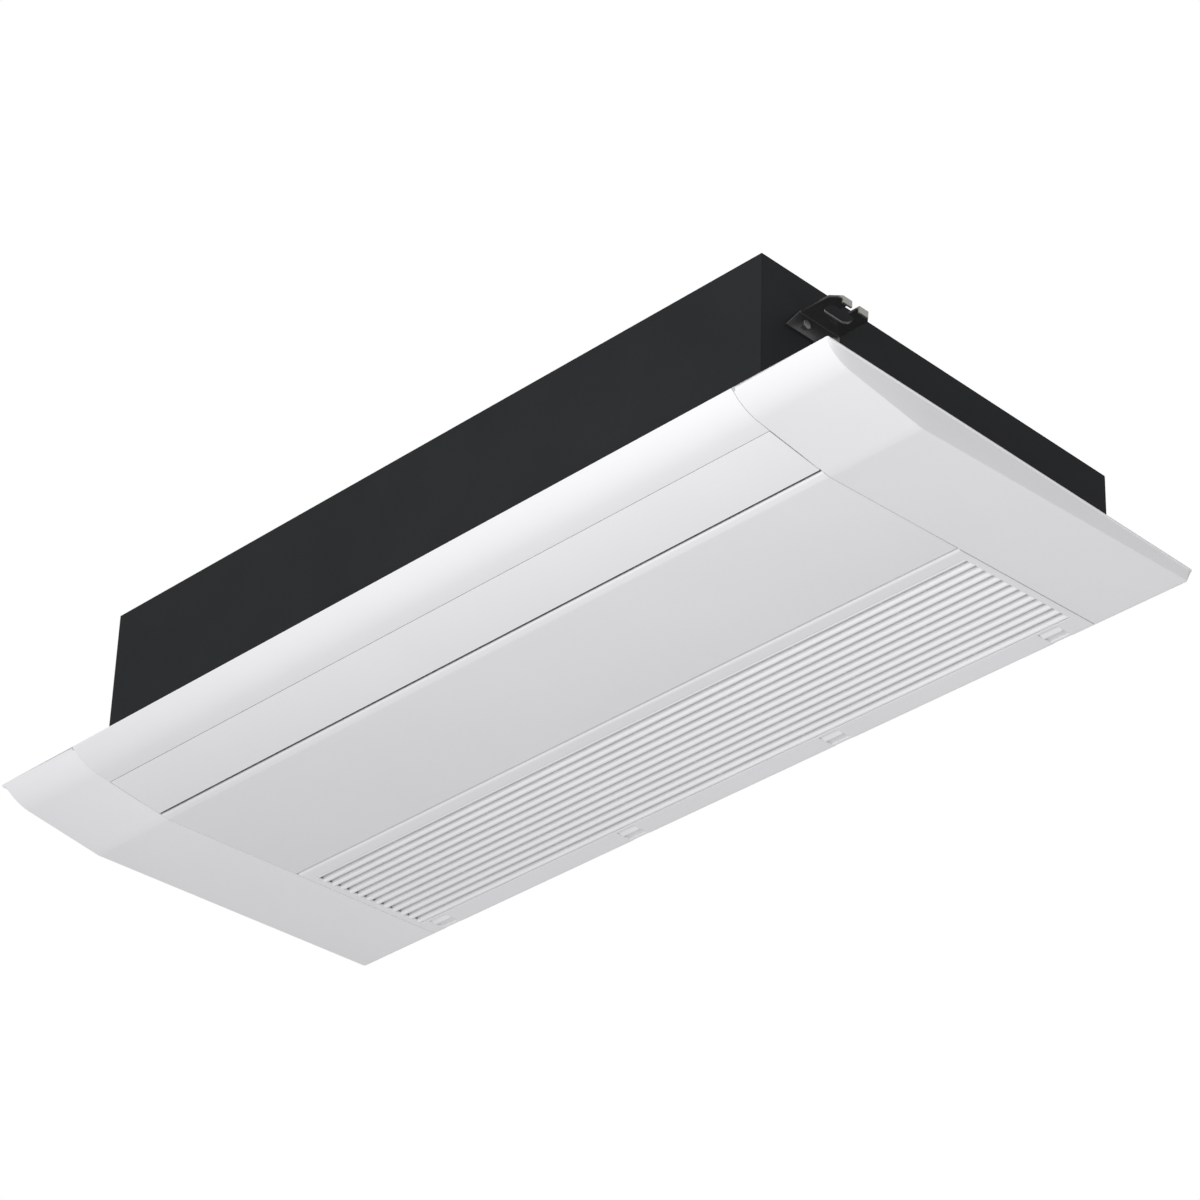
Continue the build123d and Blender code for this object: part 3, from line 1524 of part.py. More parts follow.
def control_board():
    """The circuit board with its largest parts, on four posts under the box's roof."""
    x0, x1, y0, y1, z0, z1 = board_place()
    board = block(x0, x1, y0, y1, z0, z1)
    roof = box_bounds()[5] - box_sheet
    for x in (x0 + board_post_in, x1 - board_post_in):
        for y in (y0 + board_post_in, y1 - board_post_in):
            board += rod_z(board_post, z1, roof, x, y)
    near_x = x0 + board_inset
    far_x = x1 - board_inset - capacitor_radius
    board += block(
        near_x, near_x + sink_width, y0 + board_inset, y0 + board_inset + sink_width,
        z0 - sink_height, z0,
    )
    near_y = y0 + board_inset + capacitor_radius
    board += rod_z(capacitor_radius, z0 - capacitor_height, z0, far_x, near_y)
    board += block(
        near_x, far_x, y1 - board_inset - plug_depth, y1 - board_inset, z0 - plug_height, z0
    )
    return board


def terminal_block():
    """A row of screw terminals below the cable entry."""
    x0, x1, _, y1, _, z1 = box_bounds()
    x0, x1 = x0 + terminal_inset, x1 - terminal_inset
    rear = y1 - terminal_rear
    low = z1 - terminal_height
    base = block(x0, x1, rear - terminal_depth, rear, low, z1 - box_sheet)
    pitch = (x1 - x0) / terminal_count
    for i in range(terminal_count):
        x = x0 + pitch * (i + 0.5)
        half = pitch / 2 - terminal_wall
        base -= block(
            x - half, x + half, rear - terminal_depth + 2 * terminal_wall,
            rear - 2 * terminal_wall, low - 1, low + terminal_well,
        )
        base += rod_z(
            terminal_screw, low + 1, low + terminal_well + 1, x, rear - terminal_depth / 2
        )
    return base


def cable_entry():
    """X and Z of the cable entry through the rear wall."""
    x0, x1, _, _, _, z1 = box_bounds()
    return (x0 + x1) / 2 + 10, z1 - 22


def cable_grommet():
    """The rubber grommet that lines the cable entry through wall and box."""
    x, z = cable_entry()
    _, _, _, y1, _, _ = box_bounds()
    neck = grommet_neck_radius - running_gap
    ring = rod_y(neck, y1 - box_sheet - 2, body_rear + 3, x, z)
    ring += rod_y(neck + 3, body_rear, body_rear + 3, x, z)
    return ring - rod_y(cable_bore_radius, y1 - 10, body_rear + 5, x, z)


def air_sensor():
    """The intake air sensor in its clip on the electrical box."""
    x0, _, y0, _, z0, _ = box_bounds()
    clip = block(x0 - 5, x0, y0 + 20, y0 + 28, z0 + 8, z0 + 14)
    return clip + rod_y(2.5, y0 + 8, y0 + 40, x0 - 5, z0 + 11)


# ---------------------------------------------------------------- build
def build():
    """Writes every node."""
    os.makedirs("parts", exist_ok=True)
    front, rear = bracket_places()
    write("casing_top", casing_top())
    write("casing_front", casing_front())
    write("casing_rear", casing_rear())
    write("casing_left_end", casing_left_end())
    write("casing_right_end", end_wall(body_right, -1))
    write("front_hangers", hangers(front))
    write("rear_hangers", hangers(rear))
    write("hanger_screws", bracket_screws())
    write("panel_frame", panel_frame())
    write("front_strip", front_strip())
    write("mid_panel", mid_panel())
    write("right_end_cover", end_cover(1))
    write("left_end_cover", end_cover(-1))
    write("panel_screws", panel_screws())
    write("vane", vane())
    write("vane_motor", vane_motor())
    write("vane_shaft", vane_shaft())
    write("intake_grille", intake_grille())
    write("air_filter", air_filter())
    for i, x in enumerate(latch_offsets):
        write("grille_latch_" + str(i + 1), grille_latch(x))
    write("scroll_housing", scroll_housing())
    write("stabiliser", stabiliser())
    write("fan_wall_left", fan_end_wall(chamber_left - chamber_wall, fan_boss_radius + 2))
    write("fan_wall_right", fan_end_wall(chamber_right, 9.7))
    write("fan_rotor", fan_rotor())
    write("fan_shaft", fan_shaft())
    write("fan_motor", fan_motor())
    write("fan_motor_bracket", motor_bracket())
    write("fan_bearing", fan_bearing())
    for i, x in enumerate(louver_places()):
        driven = i == 0
        pin_end = outlet_outer_y + (-6.0 if driven else foam_gap + 0.3)
        write("louver_" + str(i + 1), louver(x, pin_end))
    write("louver_carrier", louver_carrier())
    write("louver_link_bar", louver_link_bar())
    write("louver_motor", louver_motor())
    write("coil_fins", coil_fins())
    write("coil_end_plates", coil_end_plates())
    write("coil_bends", coil_bends())
    write("gas_pipe", pipe(0.3, gas_radius, 1.0))
    write("liquid_pipe", pipe(-0.25, liquid_radius, 0.8))
    write("drain_pan", drain_pan())
    write("drain_pump", drain_pump())
    write("pump_impeller", pump_impeller())
    write("drain_pipe", drain_pipe())
    write("float_switch", float_switch())
    write("level_float", level_float())
    write("control_box", control_box())
    write("control_box_lid", control_box_lid())
    write("control_board", control_board())
    write("terminal_block", terminal_block())
    write("cable_grommet", cable_grommet())
    write("air_sensor", air_sensor())


build()
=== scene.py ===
import json
import math

import bmesh
import bpy
import numpy as np
from mathutils import Matrix, Vector


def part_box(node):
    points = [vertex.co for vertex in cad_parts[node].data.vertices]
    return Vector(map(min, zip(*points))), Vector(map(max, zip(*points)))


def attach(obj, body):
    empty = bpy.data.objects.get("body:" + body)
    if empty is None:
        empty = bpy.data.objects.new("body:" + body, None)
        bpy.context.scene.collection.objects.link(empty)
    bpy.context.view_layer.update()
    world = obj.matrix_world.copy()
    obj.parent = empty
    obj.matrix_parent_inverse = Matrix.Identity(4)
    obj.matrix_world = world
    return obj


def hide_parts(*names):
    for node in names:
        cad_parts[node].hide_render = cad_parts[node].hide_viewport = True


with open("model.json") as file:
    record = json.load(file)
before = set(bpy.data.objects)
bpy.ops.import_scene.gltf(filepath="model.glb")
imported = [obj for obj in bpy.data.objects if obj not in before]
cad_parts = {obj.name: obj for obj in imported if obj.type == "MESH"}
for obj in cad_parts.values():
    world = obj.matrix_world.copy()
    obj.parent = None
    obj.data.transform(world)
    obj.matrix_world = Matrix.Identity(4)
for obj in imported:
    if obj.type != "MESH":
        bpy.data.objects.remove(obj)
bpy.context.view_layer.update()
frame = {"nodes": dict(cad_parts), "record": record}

bl_info = {
    "name": "One-way ceiling cassette",
    "version": (1, 0, 0),
    "blender": (4, 5, 0),
    "location": "View3D > Sidebar > Cassette",
    "description": "Moulded skins and finishes for the packed frame of a slim ceiling cassette",
    "category": "Object",
}

SLOTS = {part["node"]: part["material_slot"] for part in frame["record"]["subparts"]}
BODY_OF = {
    node: body
    for body, nodes in frame["record"]["behaviour"]["bodies"].items()
    for node in nodes
}
LATCHES = sorted(node for node in SLOTS if node.startswith("grille_latch"))
LOUVERS = sorted(node for node in SLOTS if node.startswith("louver_") and node[-1].isdigit())
CASING = ("casing_top", "casing_front", "casing_rear", "casing_left_end", "casing_right_end")
EASED = (
    "panel_screws", "vane_motor", "louver_carrier", "louver_link_bar", "louver_motor",
    "fan_motor", "fan_motor_bracket", "fan_bearing", "drain_pump", "drain_pipe", "drain_pan",
    "control_box", "control_box_lid", "terminal_block", "cable_grommet", "air_sensor", "air_filter",
    "coil_end_plates", "gas_pipe", "liquid_pipe", "level_float", "float_switch", *LOUVERS,
)

# Roundings of edges, in metres.
SOFT, EASE, FINE = 0.0004, 0.0003, 0.0002
SHEET_EDGE, BRACKET_EDGE = 0.00035, 0.0005
# How far a hidden part runs into its neighbour, and a gap or step too small to see.
LAP, HALF_LAP, HAIR = 0.001, 0.0005, 0.0001
# Points nearer than MERGE become one; TINY keeps a division by a length from failing.
MERGE, TINY = 1e-6, 1e-12
# Edges sharper than SHARP stay sharp; faces flatter than FLAT are joined.
SHARP, FLAT = math.radians(32.0), math.radians(0.4)


def middle_x(node):
    """X of the middle of a node."""
    low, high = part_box(node)
    return (low.x + high.x) / 2


def hinge_places(sizes):
    """X of the grille's hinges: one at the middle and one to each side."""
    return -sizes.hinge_spread, 0.0, sizes.hinge_spread


# ---------------------------------------------------------------- settings
def length(description, millimetres):
    """A length setting, kept in metres."""
    return bpy.props.FloatProperty(
        description=description, default=millimetres / 1000, min=0.0,
        precision=5, unit="LENGTH", subtype="DISTANCE",
    )


def angle(description, degrees):
    """An angle setting, kept in radians."""
    return bpy.props.FloatProperty(
        description=description, default=math.radians(degrees),
        unit="ROTATION", subtype="ANGLE",
    )


def share(description, value):
    """A setting between 0 and 1."""
    return bpy.props.FloatProperty(
        description=description, default=value, min=0.0, max=1.0, subtype="FACTOR"
    )


def amount(description, value):
    """A plain setting, whose description names its unit."""
    return bpy.props.FloatProperty(description=description, default=value, min=0.0)


def count(description, value):
    """A number of equal parts."""
    return bpy.props.IntProperty(description=description, default=value, min=1)


def place(description, x, y, z):
    """A place setting, in metres."""
    return bpy.props.FloatVectorProperty(
        description=description, default=(x, y, z), size=3,
        unit="LENGTH", subtype="TRANSLATION",
    )


def colour(description, red, green, blue):
    """A colour setting, in linear values."""
    return bpy.props.FloatVectorProperty(
        description=description, default=(red, green, blue), size=3,
        min=0.0, max=1.0, subtype="COLOR",
    )


def named(group):
    """Names each setting of a group after its attribute."""
    for field, setting in group.__annotations__.items():
        setting.keywords["name"] = field.replace("_", " ").capitalize()
    return group


@named
class PanelSizes(bpy.types.PropertyGroup):
    """Sizes of the panel's lower face and its moulded skins."""

    drop: length("Depth of the crease below the ceiling plane", 29.5)
    rear_drop: length("Depth of the rear edge below the ceiling plane", 11.5)
    crease_reach: length("From the front rim back to the crease", 123.0)
    crease_round: length("Rounding of the crease", 1.2)
    front_slope: angle("Slope of the plane that carries the vane", 7.55)
    roll_reach: length("Where the front round meets the sloping plane", 34.0)
    wall: length("Thickness of the moulded skin", 2.4)
    soft_edge: length("Size of the rounding on the skin's visible edges", 0.7)
    fine_edge: length("Size of the rounding on the skin's hidden edges", 0.3)
    inner_round: length("Rounding of the bends inside the middle panel", 0.5)
    flange_rise: length("Height of the front strip's edge over the skin", 6.0)
    blind_seam: length("How far the front strip closes its end seams", 0.2)
    step_round: length("Rounding of the middle panel's edge behind the vane", 1.4)
    step_wall: length("From the shadow gap back to the wall that closes it", 4.0)
    grille_seam: length("Widening of the seam in front of the grille", 1.0)
    plate_depth: length("Depth of the hidden plate below the ceiling plane", 3.3)
    tab_in: length("From the middle panel's rear edge to its tabs", 7.0)
    tab_wall: length("Thickness of the middle panel's tabs", 1.6)
    tab_half: length("Half the width of the middle panel's tabs", 12.0)
    rear_round: length("Rounding of the panel's lower rear edge", 4.0)
    corner_round: length("Radius of the panel's rear corners", 5.0)
    seam_round: length("Rounding of an end cover's edge at the seam", 0.5)
    foot_round: length("Rounding of an end cover's lower outer edge", 0.9)
    lip_reach: length("How far the lip stands out past each end wall", 4.5)
    lip_thickness: length("Thickness of the lip past each end wall", 1.5)
    lip_step: length("How far the lip stands past the top of the flared end wall", 0.9)
    lip_corner: length("Radius of the lip's corners", 1.5)


@named
class VaneSizes(bpy.types.PropertyGroup):
    """Sizes of the vane, its arms, its pin and its socket."""

    front_seam: length("Seam in front of the closed vane", 0.12)
    rear_gap: length("Widening of the shadow gap behind the closed vane", 0.5)
    end_seams: length("Widening of the seam at each end of the vane", 0.3)
    skin: length("Thickness of the vane at its edges", 1.6)
    bulge: length("How much thicker the vane is at its middle", 2.2)
    plain_edge: share("Share of the width by which the back stops short of each edge", 0.015)
    pivot_in: length("From the vane's rear edge to its axis", 4.5)
    pivot_up: length("Height of the axis over the face", 6.0)
    arm_wall: length("Thickness of an arm", 3.0)
    arm_reach: length("From the axis to the front of an arm's foot", 16.0)
    arm_toe: length("From the axis to the rear of an arm's foot", 3.8)
    toe_depth: length("How far the foot's rear lies inside the face", 0.6)
    arm_head: length("From the axis to the rear and to the top of an arm", 4.2)
    arm_round: length("Rounding of an arm's head", 2.0)
    shoulder_in: length("From the axis forward to an arm's shoulder", 3.0)
    shoulder_up: length("From the axis up to an arm's shoulder", 3.4)
    pin_radius: length("Radius of the pin", 2.0)
    socket_radius: length("Outer radius of the socket", 4.2)
    socket_bore: length("Inner radius of the socket", 2.05)
    socket_length: length("Length of the socket", 8.0)
    shaft_play: length("Gap between the motor's shaft and the socket's floor", 0.5)


@named
class GrilleSizes(bpy.types.PropertyGroup):
    """Sizes of the intake grille and its latches."""

    front_strip: length("Plain strip in front of the slats", 16.5)
    rear_strip: length("Plain strip behind the slats", 27.0)
    end_bar: length("Plain bar at each end of the slats", 8.0)
    end_seam: length("Widening of the seam at each end of the grille", 0.3)
    slat_count: count("Number of slats", 13)
    slat_width: length("Width of a slat's room side", 6.7)
    slat_height: length("Height of a slat", 5.8)
    slat_draft: length("How far each side of a slat leans out to its back", 1.4)
    slat_crown: length("How far a slat's room side is bowed out", 2.2)
    slat_end: length("Rounding at the ends of a slat", 1.2)
    slat_bite: share("Share of the outermost slats that lies on the strips", 0.1)
    rib_count: count("Number of ribs behind the slats", 7)
    rib_width: length("Width of the ribs behind the slats", 2.0)
    rib_sink: length("How far a rib reaches into the slats' backs", 1.5)
    rib_rise: length("How far a rib stands out of the slats' backs", 0.6)
    hinge_spread: length("From the middle hinge to each outer one", 330.0)
    hinge_up: length("Hinge axis above the room side and behind the front edge", 4.2)
    hinge_pin: length("Radius of the hinge pins", 1.3)
    hinge_width: length("Width of a hinge knuckle", 12.0)
    hinge_reach: length("From a knuckle's middle to the end of its pin", 9.6)
    nose_flat: length("From the hinge axis to where the skin has its full wall", 2.0)
    gusset_length: length("From the hinge axis to the gusset's tip", 14.0)
    gusset_sink: length("How far inside the face a gusset starts", 0.8)
    latch_width: length("Width of a latch", 23.0)
    latch_notch: length("From the rear edge to the front of a latch's notch", 25.0)
    back_rim: length("Rim that stays behind a latch's notch", 5.5)
    rim_recess: length("How far the rim behind a notch lies inside the face", 0.4)
    latch_gap: length("Clearance round a latch", 0.3)
    latch_tab: length("Thickness of a latch's tab", 2.0)
    latch_ease: length("Rounding of the tab's two sides", 0.6)
    latch_recess: length("How far the tab's front lies inside the face", 1.8)
    latch_proud: length("How far the tab's ridge stands out of the face", 1.1)
    latch_ridge: length("From the tab's front edge to its ridge", 8.5)
    latch_dip: length("How far the tab's rear lies inside the face", 0.9)
    ridge_round: length("Rounding of the tab's ridge", 1.2)
    apron: length("Length of the thin apron that covers the slot behind a tab", 4.8)
    post_half: length("Half the width of a latch's post", 3.0)
    post_rear: length("From the tab's rear edge to the post", 1.0)
    nose_in: length("From the tab's front edge to the tip of the nose", 1.8)
    nose_drop: length("From the post's top down to the tip of the nose", 1.38)
    nose_slope: angle("Slope of the nose's flanks", 60.0)
    slot_in: length("From the notch's front to the slot for the post", 4.3)
    slot_length: length("Length of the slot for the post", 9.3)
    well_wall: length("Wall of a latch's well", 1.2)


@named
class Colours(bpy.types.PropertyGroup):
    """Base colours of the finishes."""

    panel: colour("Satin white plastic", 0.84, 0.84, 0.86)
    casing: colour("Dark coated steel", 0.0148, 0.0158, 0.0168)
    bracket: colour("Black coated steel of the hangers", 0.02, 0.02, 0.0205)
    zinc: colour("Zinc coated sheet", 0.5, 0.51, 0.52)
    filter: colour("Pale filter net", 0.7, 0.71, 0.72)
    foam: colour("Moulded bead foam", 0.74, 0.74, 0.72)
    dark_plastic: colour("Black moulded plastic", 0.028, 0.028, 0.03)
    grey_plastic: colour("Grey moulded plastic", 0.3, 0.3, 0.31)
    copper: colour("Drawn copper pipe", 0.68, 0.3, 0.16)
    board: colour("Coated circuit board", 0.015, 0.12, 0.045)


@named
class StageSettings(bpy.types.PropertyGroup):
    """The floor, the light and the camera."""

    floor_depth: length("Depth of the floor below the ceiling plane", 5200.0)
    floor_half: length("From the floor's middle to each of its edges", 40000.0)
    floor_white: share("Share of plain white in the floor as the camera sees it", 0.75)
    bounce: share("Even light that the floor sends up", 0.385)
    fill: share("Brightness of the even light from all round", 0.4)
    key: amount("Power in watts of the soft key light", 37.3)
    key_size: length("Side of the soft key light", 1200.0)
    key_place: place("Place of the key light, in front and below", 1.05, -2.15, -1.0)
    eye: place("Place of the camera", 2.5538, -2.4333, -2.1764)
    target: place("The point that the camera looks at", 0.12243, -0.08207, 0.0)
    roll: angle("Turn of the camera about its line of sight", 1.89)
    lens: amount("Focal length in millimetres", 132.27)
    sensor: amount("Width of the camera's sensor in millimetres", 36.0)
    sight: length("Farthest distance that the camera shows", 200000.0)


# ---------------------------------------------------------------- shapes
def softened(corners, radii, steps=5):
    """Outline with rounded corners: corner C becomes the quadratic arc
    (1-t)^2 A + 2t(1-t) C + t^2 B, where A and B lie a radius along the two edges that meet in C.
    A radius of 0 keeps the corner as one point. Leading axes of corners are separate outlines."""
    corners = np.asarray(corners, float)
    radii = np.asarray(radii, float)
    back = np.roll(corners, 1, axis=-2) - corners
    ahead = np.roll(corners, -1, axis=-2) - corners
    back /= np.maximum(np.linalg.norm(back, axis=-1, keepdims=True), TINY)
    ahead /= np.maximum(np.linalg.norm(ahead, axis=-1, keepdims=True), TINY)
    first = corners + back * radii[:, None]
    last = corners + ahead * radii[:, None]
    counts = np.where(radii > 0, steps, 1)
    index = np.repeat(np.arange(len(radii)), counts)
    start = np.repeat(np.cumsum(counts) - counts, counts)
    t = (np.arange(counts.sum()) - start) / np.maximum(counts[index] - 1, 1)
    t = t[:, None]
    pick = (..., index, slice(None))
    return (1 - t) ** 2 * first[pick] + 2 * t * (1 - t) * corners[pick] + t**2 * last[pick]


def inset(outline, depth):
    """The closed outline moved inwards by depth, along the normal of each point."""
    along = np.roll(outline, -1, axis=0) - np.roll(outline, 1, axis=0)
    along /= np.maximum(np.linalg.norm(along, axis=1, keepdims=True), TINY)
    normal = np.stack([along[:, 1], -along[:, 0]], axis=1)
    ahead = np.roll(outline, -1, axis=0)
    area = np.sum(outline[:, 0] * ahead[:, 1] - ahead[:, 0] * outline[:, 1])
    return outline - normal * depth * np.sign(area)


def fallen(run, radius):
    """How far a rounded edge has fallen away at run past its start:
    radius - sqrt(radius^2 - run^2), with run kept between 0 and the radius."""
    run = np.clip(run, 0.0, radius)
    return radius - np.sqrt(np.maximum(radius**2 - run**2, 0.0))


def shell(rings, closed=False):
    """Vertices and faces of a surface through rings (sections x points x 3). Neighbouring points
    of neighbouring rings make a quad; the first and last ring are capped, or joined if closed."""
    sections, points, _ = rings.shape
    number = np.arange(sections * points).reshape(sections, points)
    following = np.roll(number, -1, axis=1)
    if closed:
        upper, upper_next = np.roll(number, -1, axis=0), np.roll(following, -1, axis=0)
    else:
        number, following, upper, upper_next = (
            number[:-1], following[:-1], number[1:], following[1:]
        )
    quads = np.stack([number, following, upper_next, upper], axis=-1).reshape(-1, 4).tolist()
    caps = [] if closed else [
        list(range(points))[::-1], list(range((sections - 1) * points, sections * points))
    ]
    return rings.reshape(-1, 3), quads + caps


def carried(outline, low, high, edge=EASE):
    """A (y, z) outline carried along X from low to high. Each end is eased by a quarter circle:
    at angle a the section lies edge (1 - cos a) inside the end and is inset by edge (1 - sin a)."""
    turn = np.linspace(0, math.pi / 2, 4)
    rings = [inset(outline, edge * (1 - math.sin(a))) for a in turn]
    x = np.concatenate([low + edge * (1 - np.cos(turn)), high - edge * (1 - np.cos(turn[::-1]))])
    stack = np.stack(rings + rings[::-1])
    across = np.broadcast_to(x[:, None, None], stack.shape[:2] + (1,))
    return shell(np.concatenate([across, stack], axis=2))


def turned(profile, y, z, points=40):
    """A closed (x, radius) profile turned about the line through (y, z) along X:
    the point (x, r) goes round to (x, y + r cos a, z + r sin a)."""
    profile = np.asarray(profile, float)
    turn = np.linspace(0, 2 * math.pi, points, endpoint=False)
    x = np.broadcast_to(profile[:, 0], (points, len(profile)))
    radius = profile[:, 1]
    rings = np.stack(
        [x, y + radius * np.cos(turn)[:, None], z + radius * np.sin(turn)[:, None]], axis=2
    )
    return shell(rings, closed=True)


def slab(xs, ys, filled, low, high):
    """A plate over a grid of lines. filled marks its cells, low and high give Z where line i of X
    meets line j of Y. A filled cell has a quad at low and at high; where it meets an open cell or
    the border, the edge between them becomes a wall quad from low to high."""
    number = np.arange(low.size).reshape(low.shape)
    shape = low.shape + (1,)
    x, y = np.broadcast_to(xs[:, None, None], shape), np.broadcast_to(ys[None, :, None], shape)
    sheets = [np.concatenate([x, y, z[..., None]], axis=2).reshape(-1, 3) for z in (low, high)]
    cell = np.stack([number[:-1, :-1], number[1:, :-1], number[1:, 1:], number[:-1, 1:]], axis=-1)
    padded = np.pad(filled, 1)
    border_x = padded[:-1, 1:-1] != padded[1:, 1:-1]
    border_y = padded[1:-1, :-1] != padded[1:-1, 1:]
    along_y = np.stack([number[:, :-1], number[:, 1:]], axis=-1)[border_x]
    along_x = np.stack([number[:-1, :], number[1:, :]], axis=-1)[border_y]
    edges = np.concatenate([along_y, along_x])
    walls = np.concatenate([edges, edges[:, ::-1] + low.size], axis=1)
    faces = np.concatenate([cell[filled], cell[filled] + low.size, walls])
    kept, faces = np.unique(faces, return_inverse=True)
    return np.concatenate(sheets)[kept], faces.reshape(-1, 4).tolist()


def joined(name, islands):
    """One mesh from several islands, each a pair of vertices and faces."""
    vertices = np.concatenate([v for v, _ in islands])
    starts = np.cumsum([0] + [len(v) for v, _ in islands[:-1]])
    faces = [[i + start for i in face] for start, (_, fs) in zip(starts, islands) for face in fs]
    mesh = bpy.data.meshes.new(name)
    mesh.from_pydata(vertices.tolist(), [], faces)
    return mesh


def finished(name, mesh, node, bevel=0.0):
    """One object from a mesh: doubles merged, faces outwards, smooth except at sharp edges. Where
    a bevel is given, flat neighbours are joined and the sharp edges are rounded by it.
    It rides with the body of the node it replaces."""
    work = bmesh.new()
    work.from_mesh(mesh)
    bmesh.ops.remove_doubles(work, verts=work.verts, dist=MERGE)
    bmesh.ops.dissolve_degenerate(work, edges=work.edges, dist=MERGE)
    if bevel:
        bmesh.ops.dissolve_limit(work, angle_limit=FLAT, verts=work.verts, edges=work.edges)
    bare = [edge for edge in work.edges if edge.is_wire]
    bmesh.ops.delete(work, geom=bare, context="EDGES")
    bmesh.ops.recalc_face_normals(work, faces=work.faces)
    work.to_mesh(mesh)
    work.free()
    mesh.shade_smooth()
    mesh.set_sharp_from_angle(angle=SHARP)
    piece = bpy.data.objects.new(name, mesh)
    bpy.context.scene.collection.objects.link(piece)
    if bevel:
        edge = piece.modifiers.new("rounded_edges", "BEVEL")
        edge.width = bevel
        edge.segments = 2
        edge.limit_method = "ANGLE"
        edge.angle_limit = SHARP
        edge.use_clamp_overlap = False
        edge.harden_normals = True
    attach(piece, BODY_OF[node])
    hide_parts(node)
    dress(piece, SLOTS[node])
    return piece


def make_piece(name, islands, node):
    """One object from closed islands."""
    return finished(name, joined(name, islands), node)


def eased(node, name, width):
    """A copy of a node's mesh with joined flat faces and rounded edges."""
    mesh = frame["nodes"][node].data.copy()
    mesh.name = name
    return finished(name, mesh, node, bevel=width)


class Face:
    """The panel's lower face in the YZ plane, from the sizes of the panel."""

    def __init__(self, sizes):
        self.sizes = sizes
        self.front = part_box("left_end_cover")[0].y
        self.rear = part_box("left_end_cover")[1].y
        self.crease = self.front + sizes.crease_reach
        self.tilt = sizes.front_slope
        self.rise = (sizes.drop - sizes.rear_drop) / (self.rear - self.crease)
        touch = self.front + sizes.roll_reach
        height = -sizes.drop - (touch - self.crease) * math.tan(self.tilt)
        run = touch - self.front
        lean = run * math.sin(self.tilt) + height * math.cos(self.tilt)
        self.radius = -(run**2 + height**2) / (2 * lean)
        self.centre_y = touch + self.radius * math.sin(self.tilt)
        self.centre_z = height + self.radius * math.cos(self.tilt)

    def plane(self, y, depth=0.0):
        """Height at y of the two planes, moved inwards by depth."""
        y = np.asarray(y, float)
        slope = np.where(y < self.crease, -math.tan(self.tilt), self.rise)
        return -self.sizes.drop + (y - self.crease) * slope + depth * np.sqrt(1 + slope**2)

    def band(self, front, rear, low, high):
        """Corners of a strip from front to rear, between two depths inside the planes."""
        ends = (front, low), (rear, low), (rear, high), (front, high)
        return [(y, self.plane(y, depth)) for y, depth in ends]

    def height(self, y, depth=0.0):
        """Height at y with the front round: centre_z - sqrt((R - d)^2 - (y - centre_y)^2)
        in front of the tangent point, the planes behind it."""
        y = np.asarray(y, float)
        inner = self.radius - depth
        touch = self.centre_y - inner * math.sin(self.tilt)
        bow = self.centre_z - np.sqrt(np.maximum(inner**2 - (y - self.centre_y) ** 2, 0.0))
        return np.where(y < touch, bow, self.plane(y, depth))

    def rim(self, depth=0.0):
        """Y at which the round, depth inside the skin, comes up to the ceiling plane."""
        inner = self.radius - depth
        return self.centre_y - math.sqrt(inner**2 - self.centre_z**2)

    def roll(self, depth=0.0, points=26):
        """Points (y, z) of the round from the rim to its tangent point, even in angle."""
        inner = self.radius - depth
        start = math.atan2(-self.centre_z, self.rim(depth) - self.centre_y) + 2 * math.pi
        end = 1.5 * math.pi - self.tilt
        turn = np.linspace(start, end, points)
        return np.stack(
            [self.centre_y + inner * np.cos(turn), self.centre_z + inner * np.sin(turn)], axis=1
        )


# ---------------------------------------------------------------- finishes
class Signal:
    """A socket that takes part in sums: each operator adds one Math node."""

    def __init__(self, tree, socket):
        self.tree = tree
        self.socket = socket

    def math(self, operation, *values):
        """A Math node over signals or plain values."""
        node = self.tree.nodes.new("ShaderNodeMath")
        node.operation = operation
        for socket, value in zip(node.inputs, values):
            feed(self.tree, socket, value)
        return Signal(self.tree, node.outputs[0])

    def __add__(self, other):
        return self.math("ADD", self, other)

    def __radd__(self, other):
        return self.math("ADD", other, self)

    def __sub__(self, other):
        return self.math("SUBTRACT", self, other)

    def __rsub__(self, other):
        return self.math("SUBTRACT", other, self)

    def __mul__(self, other):
        return self.math("MULTIPLY", self, other)

    def __rmul__(self, other):
        return self.math("MULTIPLY", other, self)

    def __pow__(self, other):
        return self.math("POWER", self, other)

    def above(self, limit):
        """1 where the value is over the limit, else 0."""
        return self.math("GREATER_THAN", self, limit)

    def wave(self):
        """The sine of the value."""
        return self.math("SINE", self)

    def size(self):
        """The value without its sign."""
        return self.math("ABSOLUTE", self)

    def clipped(self):
        """The value kept between 0 and 1."""
        return self.math("MAXIMUM", self.math("MINIMUM", self, 1.0), 0.0)

    def larger(self, other):
        """The larger of two values."""
        return self.math("MAXIMUM", self, other)


def feed(tree, socket, value):
    """Links a signal to a socket, or sets a plain value on it."""
    if isinstance(value, Signal):
        tree.links.new(value.socket, socket)
    elif isinstance(value, (tuple, list)) and len(value) == 3 and socket.type == "RGBA":
        socket.default_value = (*value, 1.0)
    else:
        socket.default_value = value


